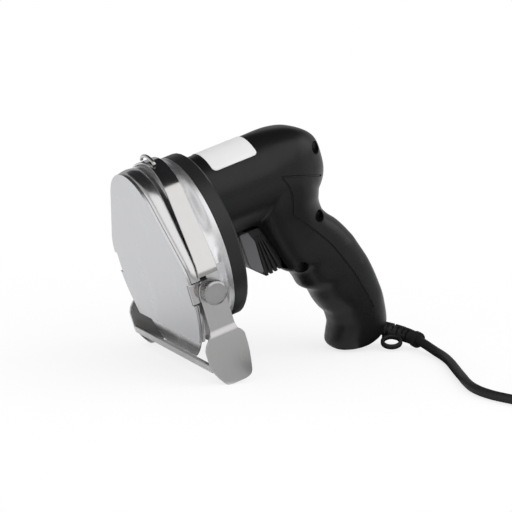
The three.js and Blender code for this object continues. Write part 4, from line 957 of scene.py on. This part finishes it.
def run_of(points):
    return np.concatenate([[0], np.cumsum(np.linalg.norm(np.diff(points, axis=0), axis=1))])


rows = np.array(BARREL, dtype=float)
knots = run_of(rows[:, :2])
rings = []
for ahead, crown, sides, power in eased(knots, rows, np.linspace(0, knots[-1], 110)):
    tall = BARREL_RADIUS - (crown + sides) / 2
    wide = BARREL_RADIUS - sides
    middle = MOTOR_HEIGHT + (sides - crown) / 2
    rings.append([
        (BARREL_REAR - ahead, wide * c, middle + tall * s) for c, s in superellipse(96, power)
    ])
barrel = loft("barrel", rings, PLASTIC)
rows = np.array(GRIP)
knots = run_of((rows[:, :2] + rows[:, 2:4]) / 2)
rings = []
for fx, fz, bx, bz, width in eased(knots, rows, np.linspace(0, knots[-1], 140)):
    rings.append([
        (
            (fx + bx) / 2 + (bx - fx) / 2 * c,
            GRIP_HALF_WIDTH * width * s,
            (fz + bz) / 2 + (bz - fz) / 2 * c,
        )
        for c, s in superellipse(72, GRIP_POWER)
    ])
grip = loft("grip", rings, PLASTIC)
housing = joined("housing_skin", [barrel, grip])
fuse = housing.modifiers.new("fuse", "REMESH")
fuse.mode = "VOXEL"
fuse.voxel_size = HOUSING_VOXEL
soften = housing.modifiers.new("soften", "SMOOTH")
soften.factor = 0.5
soften.iterations = 10
settled(housing)

# The back strap panel is marked by a fine groove moulded in both sides.
# The screws sit in bores from the left, and a pocket takes the trigger and its boot.
PANEL = [
    [(0.1093, 0.0236), (0.1018, 0.0272), (0.0924, 0.031), (0.0815, 0.0346)],
    [(0.0815, 0.0346), (0.0842, 0.0289), (0.0853, 0.0229), (0.085, 0.0169), (0.0839, 0.0099),
     (0.0872, 0.0055), (0.0929, -0.0017), (0.0985, -0.0095), (0.1038, -0.0185),
     (0.1077, -0.0277), (0.1115, -0.0374), (0.1141, -0.0467), (0.116, -0.0539), (0.1179, -0.0623)],
]
GROOVE = 0.0006
SCREWS = [(0.1108, 0.04), (0.1015, 0.0015), (0.083, -0.024)]
BORE = 0.0036
BORE_FLOOR = 0.0003
GROOVE_STEP = 0.0012
POCKET_FRONT = 0.05
POCKET_REAR = 0.0815
POCKET_HALF = 0.0089
POCKET_FOOT = -0.0229
POCKET_TOP = 0.007
graph = bpy.context.evaluated_depsgraph_get()
shell = BVHTree.FromObject(housing, graph)
cutters = []
for course in PANEL:
    flat = np.array(course)
    knots = run_of(flat)
    for side in (-1, 1):
        points = []
        for x, z in eased(knots, flat, np.linspace(0, knots[-1], int(knots[-1] / GROOVE_STEP))):
            hit = shell.ray_cast(Vector((x, side * 0.1, z)), Vector((0, -side, 0)))[0]
            if hit:
                points.append(hit)
        rings = []
        for i, p in enumerate(points):
            ahead = (points[min(i + 1, len(points) - 1)] - points[max(i - 1, 0)]).normalized()
            across = ahead.cross(Vector((0, 1, 0))).normalized()
            up = across.cross(ahead)
            rings.append([p + (across * c + up * s) * GROOVE for c, s in superellipse(8, 2.0)])
        cutters.append(loft("groove", rings, PLASTIC))
screw_places = []
for x, z in SCREWS:
    skin_y = shell.ray_cast(Vector((x, -0.1, z)), Vector((0, 1, 0)))[0].y
    head_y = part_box(f"housing_screw_{len(screw_places) + 1}")[0][1]
    screw_places.append((x, head_y, z))
    cutters.append(turned(
        "bore", [(BORE, head_y + BORE_FLOOR), (BORE, skin_y - 0.004)],
        PLASTIC, (x, 0, z), (0, 1, 0), sides=32,
    ))
pocket = [
    (POCKET_FRONT, -POCKET_HALF), (POCKET_REAR, -POCKET_HALF),
    (POCKET_REAR, POCKET_HALF), (POCKET_FRONT, POCKET_HALF),
]
cutters.append(loft(
    "pocket", [[(x, y, z) for x, y in pocket] for z in (POCKET_FOOT, POCKET_TOP)], PLASTIC
))
carved(housing, cutters, sharp=50.0)
seated(housing, "body", "black_housing", "housing_left", "housing_right")

# The housing screws are blackened steel self-tappers with a cross recess.
# They go in from the slicer's left and sit deep in their bores.
BLACKENED = finish("blackened_steel", (0.05, 0.05, 0.055), 0.4, metallic=1.0, scale=800.0)
HEAD_RADIUS = 0.0032
HEAD_HEIGHT = 0.0021
SHANK_RADIUS = 0.0014
SHANK_LENGTH = 0.006
RECESS_DEPTH = 0.0012
RECESS_HALF = 0.0018
RECESS_HALF_WIDTH = 0.0004
SCREW_TURN = 0.7


def repeat_tree():
    tree = bpy.data.node_groups.new("repeat", "GeometryNodeTree")
    tree.interface.new_socket("Geometry", in_out="INPUT", socket_type="NodeSocketGeometry")
    for name, kind in (
        ("Template", "NodeSocketObject"),
        ("Turn", "NodeSocketVector"),
        ("Material", "NodeSocketMaterial"),
    ):
        tree.interface.new_socket(name, in_out="INPUT", socket_type=kind)
    tree.interface.new_socket("Geometry", in_out="OUTPUT", socket_type="NodeSocketGeometry")
    start = tree.nodes.new("NodeGroupInput")
    template = tree.nodes.new("GeometryNodeObjectInfo")
    index = tree.nodes.new("GeometryNodeInputIndex")
    angle = tree.nodes.new("ShaderNodeVectorMath")
    angle.operation = "SCALE"
    turn = tree.nodes.new("FunctionNodeEulerToRotation")
    copies = tree.nodes.new("GeometryNodeInstanceOnPoints")
    real = tree.nodes.new("GeometryNodeRealizeInstances")
    coat = tree.nodes.new("GeometryNodeSetMaterial")
    end = tree.nodes.new("NodeGroupOutput")
    link = tree.links.new
    link(start.outputs["Geometry"], copies.inputs["Points"])
    link(start.outputs["Template"], template.inputs["Object"])
    link(template.outputs["Geometry"], copies.inputs["Instance"])
    link(start.outputs["Turn"], angle.inputs[0])
    link(index.outputs[0], angle.inputs["Scale"])
    link(angle.outputs[0], turn.inputs[0])
    link(turn.outputs[0], copies.inputs["Rotation"])
    link(copies.outputs[0], real.inputs[0])
    link(real.outputs[0], coat.inputs["Geometry"])
    link(start.outputs["Material"], coat.inputs["Material"])
    link(coat.outputs[0], end.inputs[0])
    return tree


REPEAT = repeat_tree()


def repeated(name, places, template, turn, material, sharp=35.0):
    mesh = bpy.data.meshes.new(name)
    mesh.from_pydata([tuple(p) for p in places], [], [])
    copies = bpy.data.objects.new(name, mesh)
    scene.collection.objects.link(copies)
    maker = copies.modifiers.new("repeat", "NODES")
    maker.node_group = REPEAT
    given = {"Template": template, "Turn": turn, "Material": material}
    for item in REPEAT.interface.items_tree:
        if item.in_out == "INPUT" and item.name in given:
            maker[item.identifier] = given[item.name]
    settled(copies)
    bpy.data.objects.remove(template)
    copies.data.shade_smooth()
    copies.data.set_sharp_from_angle(angle=math.radians(sharp))
    return copies


screw = turned(
    "screw",
    [(0.0008, 0.0), (0.0026, 0.0001), (HEAD_RADIUS - 0.0002, 0.0006), (HEAD_RADIUS, 0.001),
     (HEAD_RADIUS, HEAD_HEIGHT), (SHANK_RADIUS, HEAD_HEIGHT), (SHANK_RADIUS, SHANK_LENGTH)],
    BLACKENED, (0, 0, 0), (0, 1, 0), sides=32,
)
arms = [
    block("recess", (-wide, -0.001, -tall), (wide, RECESS_DEPTH, tall), BLACKENED, 0.0001)
    for wide, tall in ((RECESS_HALF, RECESS_HALF_WIDTH), (RECESS_HALF_WIDTH, RECESS_HALF))
]
screw = carved(screw, arms)
screws = repeated(
    "housing_screws_skin", screw_places, screw, (0.0, SCREW_TURN, 0.0), BLACKENED
)
seated(screws, "body", "steel", "housing_screw_1", "housing_screw_2", "housing_screw_3")

# The label is a plain white vinyl film, cut with rounded corners.
# It is stuck over the top of the barrel and follows its curve.
LABEL = finish(
    "label_stock", (0.78, 0.78, 0.77), 0.4, scale=1400.0, tint=0.02, spread=0.06, relief=0.04
)
LABEL_FRONT = 0.0465
LABEL_LENGTH = 0.0282
LABEL_HALF_ANGLE = 0.80
LABEL_CORNER = 0.0025
LABEL_RADIUS = 0.02545
LABEL_FILM = 0.0002
LABEL_GRID = 33
columns = []
for u in (1 - np.cos(np.linspace(0, math.pi, LABEL_GRID))) / 2:
    x = LABEL_FRONT + LABEL_LENGTH * u
    inset = max(0.0, LABEL_CORNER - min(u, 1 - u) * LABEL_LENGTH)
    lost = LABEL_CORNER - math.sqrt(max(0.0, LABEL_CORNER ** 2 - inset ** 2))
    half = LABEL_HALF_ANGLE - lost / LABEL_RADIUS
    columns.append([
        (x, LABEL_RADIUS * math.sin(a), MOTOR_HEIGHT + LABEL_RADIUS * math.cos(a))
        for a in np.linspace(-half, half, LABEL_GRID)
    ])
label_mesh = bpy.data.meshes.new("label_skin")
label_mesh.from_pydata(
    [p for column in columns for p in column],
    [],
    [(i + k, i + LABEL_GRID + k, i + LABEL_GRID + k + 1, i + k + 1)
     for i in range(0, LABEL_GRID * (LABEL_GRID - 1), LABEL_GRID) for k in range(LABEL_GRID - 1)],
)
label_mesh.shade_smooth()
label_mesh.materials.append(LABEL)
label = bpy.data.objects.new("label_skin", label_mesh)
scene.collection.objects.link(label)
thick = label.modifiers.new("film", "SOLIDIFY")
thick.thickness = LABEL_FILM
thick.offset = 1.0
seated(label, "body", "label_stock", "label")

# The trigger is a grey moulded key in front of a ribbed black rubber boot.
# The boot keeps the switch dry; its folds fan out from their top edge.
GREY = finish(
    "trigger_grey", (0.13, 0.13, 0.135), 0.42, scale=1300.0, relief=0.1, specular=0.35
)
KEY_SHOULDER = 0.003
KEY_RISE = 0.0021
key = dressed("trigger", GREY, "trigger", edge=0.0008)
key.data.transform(STAND.inverted())
for vertex in key.data.vertices:
    if vertex.co.z > KEY_SHOULDER:
        vertex.co.z += KEY_RISE
key.data.transform(STAND)
BOOT_FRONT = 0.0624
BOOT_REAR = 0.0745
BOOT_TOP = 0.0022
BOOT_FOOT = -0.0222
BOOT_HALF = 0.0082
CORE_INSET = 0.0016
CORE_RISE = 0.002
CAP_LOW = (0.0575, -0.0078, -0.002)
CAP_HIGH = (0.074, 0.0078, 0.0067)
FOLDS = 4
FOLD_THICK = 0.0009
FOLD_SWELL = 1.2
FOLD_STEP = 0.0012
FOLD_FAN = math.radians(-4.5)
drop = BOOT_TOP - BOOT_FOOT
fold = block("fold", (0.0, -BOOT_HALF, -drop), (FOLD_THICK, BOOT_HALF, 0.0), RUBBER, 0.0003)
for vertex in fold.data.vertices:
    vertex.co.x *= 1 - FOLD_SWELL * vertex.co.z / drop
folds = repeated(
    "folds", [(BOOT_FRONT + i * FOLD_STEP, 0.0, BOOT_TOP) for i in range(FOLDS)],
    fold, (0.0, FOLD_FAN, 0.0), RUBBER, sharp=50.0,
)
core_half = BOOT_HALF - CORE_INSET
core = block(
    "boot_core", (BOOT_FRONT, -core_half, BOOT_FOOT + CORE_RISE), (BOOT_REAR, core_half, 0.0),
    RUBBER, 0.0005,
)
cap = block("boot_cap", CAP_LOW, CAP_HIGH, RUBBER, 0.0006)
boot = joined("trigger_boot_skin", [folds, core, cap], sharp=50.0)
seated(boot, "trigger", "black_rubber", "trigger_boot")

# The guide is one bent sheet of stainless steel, hung on the two studs at the ears.
# Its arms step outward into two wings, and a bar across the front sets the slice.
SHEET = finish(
    "guide_sheet", (0.60, 0.59, 0.585), 0.3, metallic=1.0, scale=1100.0,
    stretch=(1.0, 1.0, 0.03), tint=0.04, spread=0.03, relief=0.012,
)
KNOB_X = 0.0119
KNOB_Z = -0.0012
ARM_INNER = 0.0541
ARM_TOP = 0.0063
JOGGLE = 0.0018
JOGGLE_TOP = -0.0215
JOGGLE_RUN = 0.0062
STUD_HOLE = 0.0033
BAR_HALF = 0.0565
GUIDE_THICK = 0.0015
GUIDE_EDGE = 0.0003
FRONT_EDGE = [
    (0.0063, 0.0119), (0.0055, 0.0084), (0.003, 0.0057), (-0.0012, 0.0044), (-0.022, 0.0044),
    (-0.0245, 0.0034), (-0.0275, 0.0007), (-0.030, -0.0013), (-0.033, -0.0023), (-0.0425, -0.0023),
    (-0.0448, -0.0015), (-0.0535, 0.0033), (-0.05495, 0.005), (-0.0554, 0.0075),
]
REAR_EDGE = [
    (0.0063, 0.0119), (0.0055, 0.0154), (0.003, 0.0181), (-0.0012, 0.0194), (-0.024, 0.0194),
    (-0.0262, 0.0199), (-0.0275, 0.0212), (-0.0288, 0.0222), (-0.031, 0.0229), (-0.0345, 0.0229),
    (-0.0515, 0.0211), (-0.0538, 0.02), (-0.05495, 0.0181), (-0.0554, 0.0155),
]
levels = np.concatenate([
    ARM_TOP * np.cos(np.linspace(0, math.pi / 2, 16)),
    np.linspace(-0.0005, -0.0535, 90),
    np.linspace(-0.0538, -0.0554, 10),
])
fore = eased(-np.array(FRONT_EDGE)[:, 0], np.array(FRONT_EDGE)[:, 1:], -levels)[:, 0]
back = eased(-np.array(REAR_EDGE)[:, 0], np.array(REAR_EDGE)[:, 1:], -levels)[:, 0]
step = np.clip((JOGGLE_TOP - levels) / JOGGLE_RUN, 0.0, 1.0)
inner = ARM_INNER + JOGGLE * step * step * (3 - 2 * step)
sides = []
for side in (-1, 1):
    rings = []
    for z, x0, x1, y in zip(levels, fore, back, inner):
        edge = min(GUIDE_EDGE, (x1 - x0) / 4)
        run = np.linspace(x0 + edge, x1 - edge, 12)
        outer = y + GUIDE_THICK
        ring = [(x, side * outer, z) for x in run]
        ring += [(x1, side * (outer - edge), z), (x1, side * (y + edge), z)]
        ring += [(x, side * y, z) for x in run[::-1]]
        ring += [(x0, side * (y + edge), z), (x0, side * (outer - edge), z)]
        rings.append(ring)
    wing = loft("guide_side", rings, SHEET)
    hole = turned(
        "stud_hole", [(STUD_HOLE, 0.05), (STUD_HOLE, 0.06)],
        SHEET, (KNOB_X, 0, KNOB_Z), (0, side, 0), sides=48,
    )
    sides.append(carved(wing, [hole]))
BAR = [
    (-0.0023, -0.0411), (-0.002, -0.0408), (-0.0011, -0.0408), (-0.0008, -0.0411),
    (-0.0008, -0.0434), (-0.0003, -0.0439), (0.0024, -0.0439), (0.0027, -0.0442),
    (0.0027, -0.0451), (0.0024, -0.0454), (-0.0013, -0.0454), (-0.002, -0.0451),
    (-0.0023, -0.0444),
]
bar = loft(
    "guide_bar", [[(x, y, z) for x, z in BAR] for y in (-BAR_HALF, BAR_HALF)], SHEET, sharp=50.0
)
guide = joined("thickness_guide_skin", [*sides, bar])
seated(guide, "guide", "steel", "thickness_guide")

# The knobs are turned steel with a knurled edge, screwed on the studs to clamp the guide.
# Each is a short drum with a chamfered face and a fine turned grain.
TURNED = finish(
    "turned_steel", (0.47, 0.465, 0.46), 0.3, metallic=1.0, scale=700.0,
    tint=0.06, spread=0.06, relief=0.03,
)
KNOB_INNER = 0.0559
KNOB_HEIGHT = 0.0065
KNOB_RADIUS = 0.0066
KNOB_BORE = 0.0033
KNOB_EDGE = 0.0005
KNOB_CHAMFER = 0.0009
KNURLS = 28
KNURL_ROOT = KNOB_RADIUS - 0.0002
KNURL_TOP = 0.00698
KNURL_HALF = 0.0005
KNURL_CREST = 0.00022
RIDGE = [
    (0.0005, KNOB_RADIUS), (0.0011, KNURL_TOP), (0.0052, KNURL_TOP), (0.0058, KNOB_RADIUS),
]
for word, side in (("left", -1), ("right", 1)):
    drum = turned(
        "drum",
        [(KNOB_BORE, 0.0), (KNOB_RADIUS - KNOB_EDGE, 0.0), (KNOB_RADIUS, KNOB_EDGE),
         (KNOB_RADIUS, KNOB_HEIGHT - KNOB_CHAMFER),
         (KNOB_RADIUS - KNOB_CHAMFER, KNOB_HEIGHT - 0.0001),
         (KNOB_RADIUS - KNOB_CHAMFER - 0.0003, KNOB_HEIGHT), (0.0005, KNOB_HEIGHT)],
        TURNED, (0, 0, 0), (0, side, 0), sides=84, sharp=30.0,
    )
    rings = []
    for y, top in RIDGE:
        section = (
            (-KNURL_HALF, KNURL_ROOT), (-KNURL_CREST, top),
            (KNURL_CREST, top), (KNURL_HALF, KNURL_ROOT),
        )
        rings.append([(x, side * y, z) for x, z in section])
    ridge = loft("ridge", rings, TURNED)
    knurl = repeated(
        "knurl", [(0, 0, 0)] * KNURLS, ridge, (0.0, 2 * math.pi / KNURLS, 0.0), TURNED
    )
    knob = joined(f"knob_{word}_skin", [drum, knurl], sharp=30.0)
    knob.data.transform(Matrix.Translation((KNOB_X, side * KNOB_INNER, KNOB_Z)))
    seated(knob, f"knob_{word}", "steel", f"knob_{word}")
    dressed(f"stud_{word}", TURNED, "body", edge=0.0002)
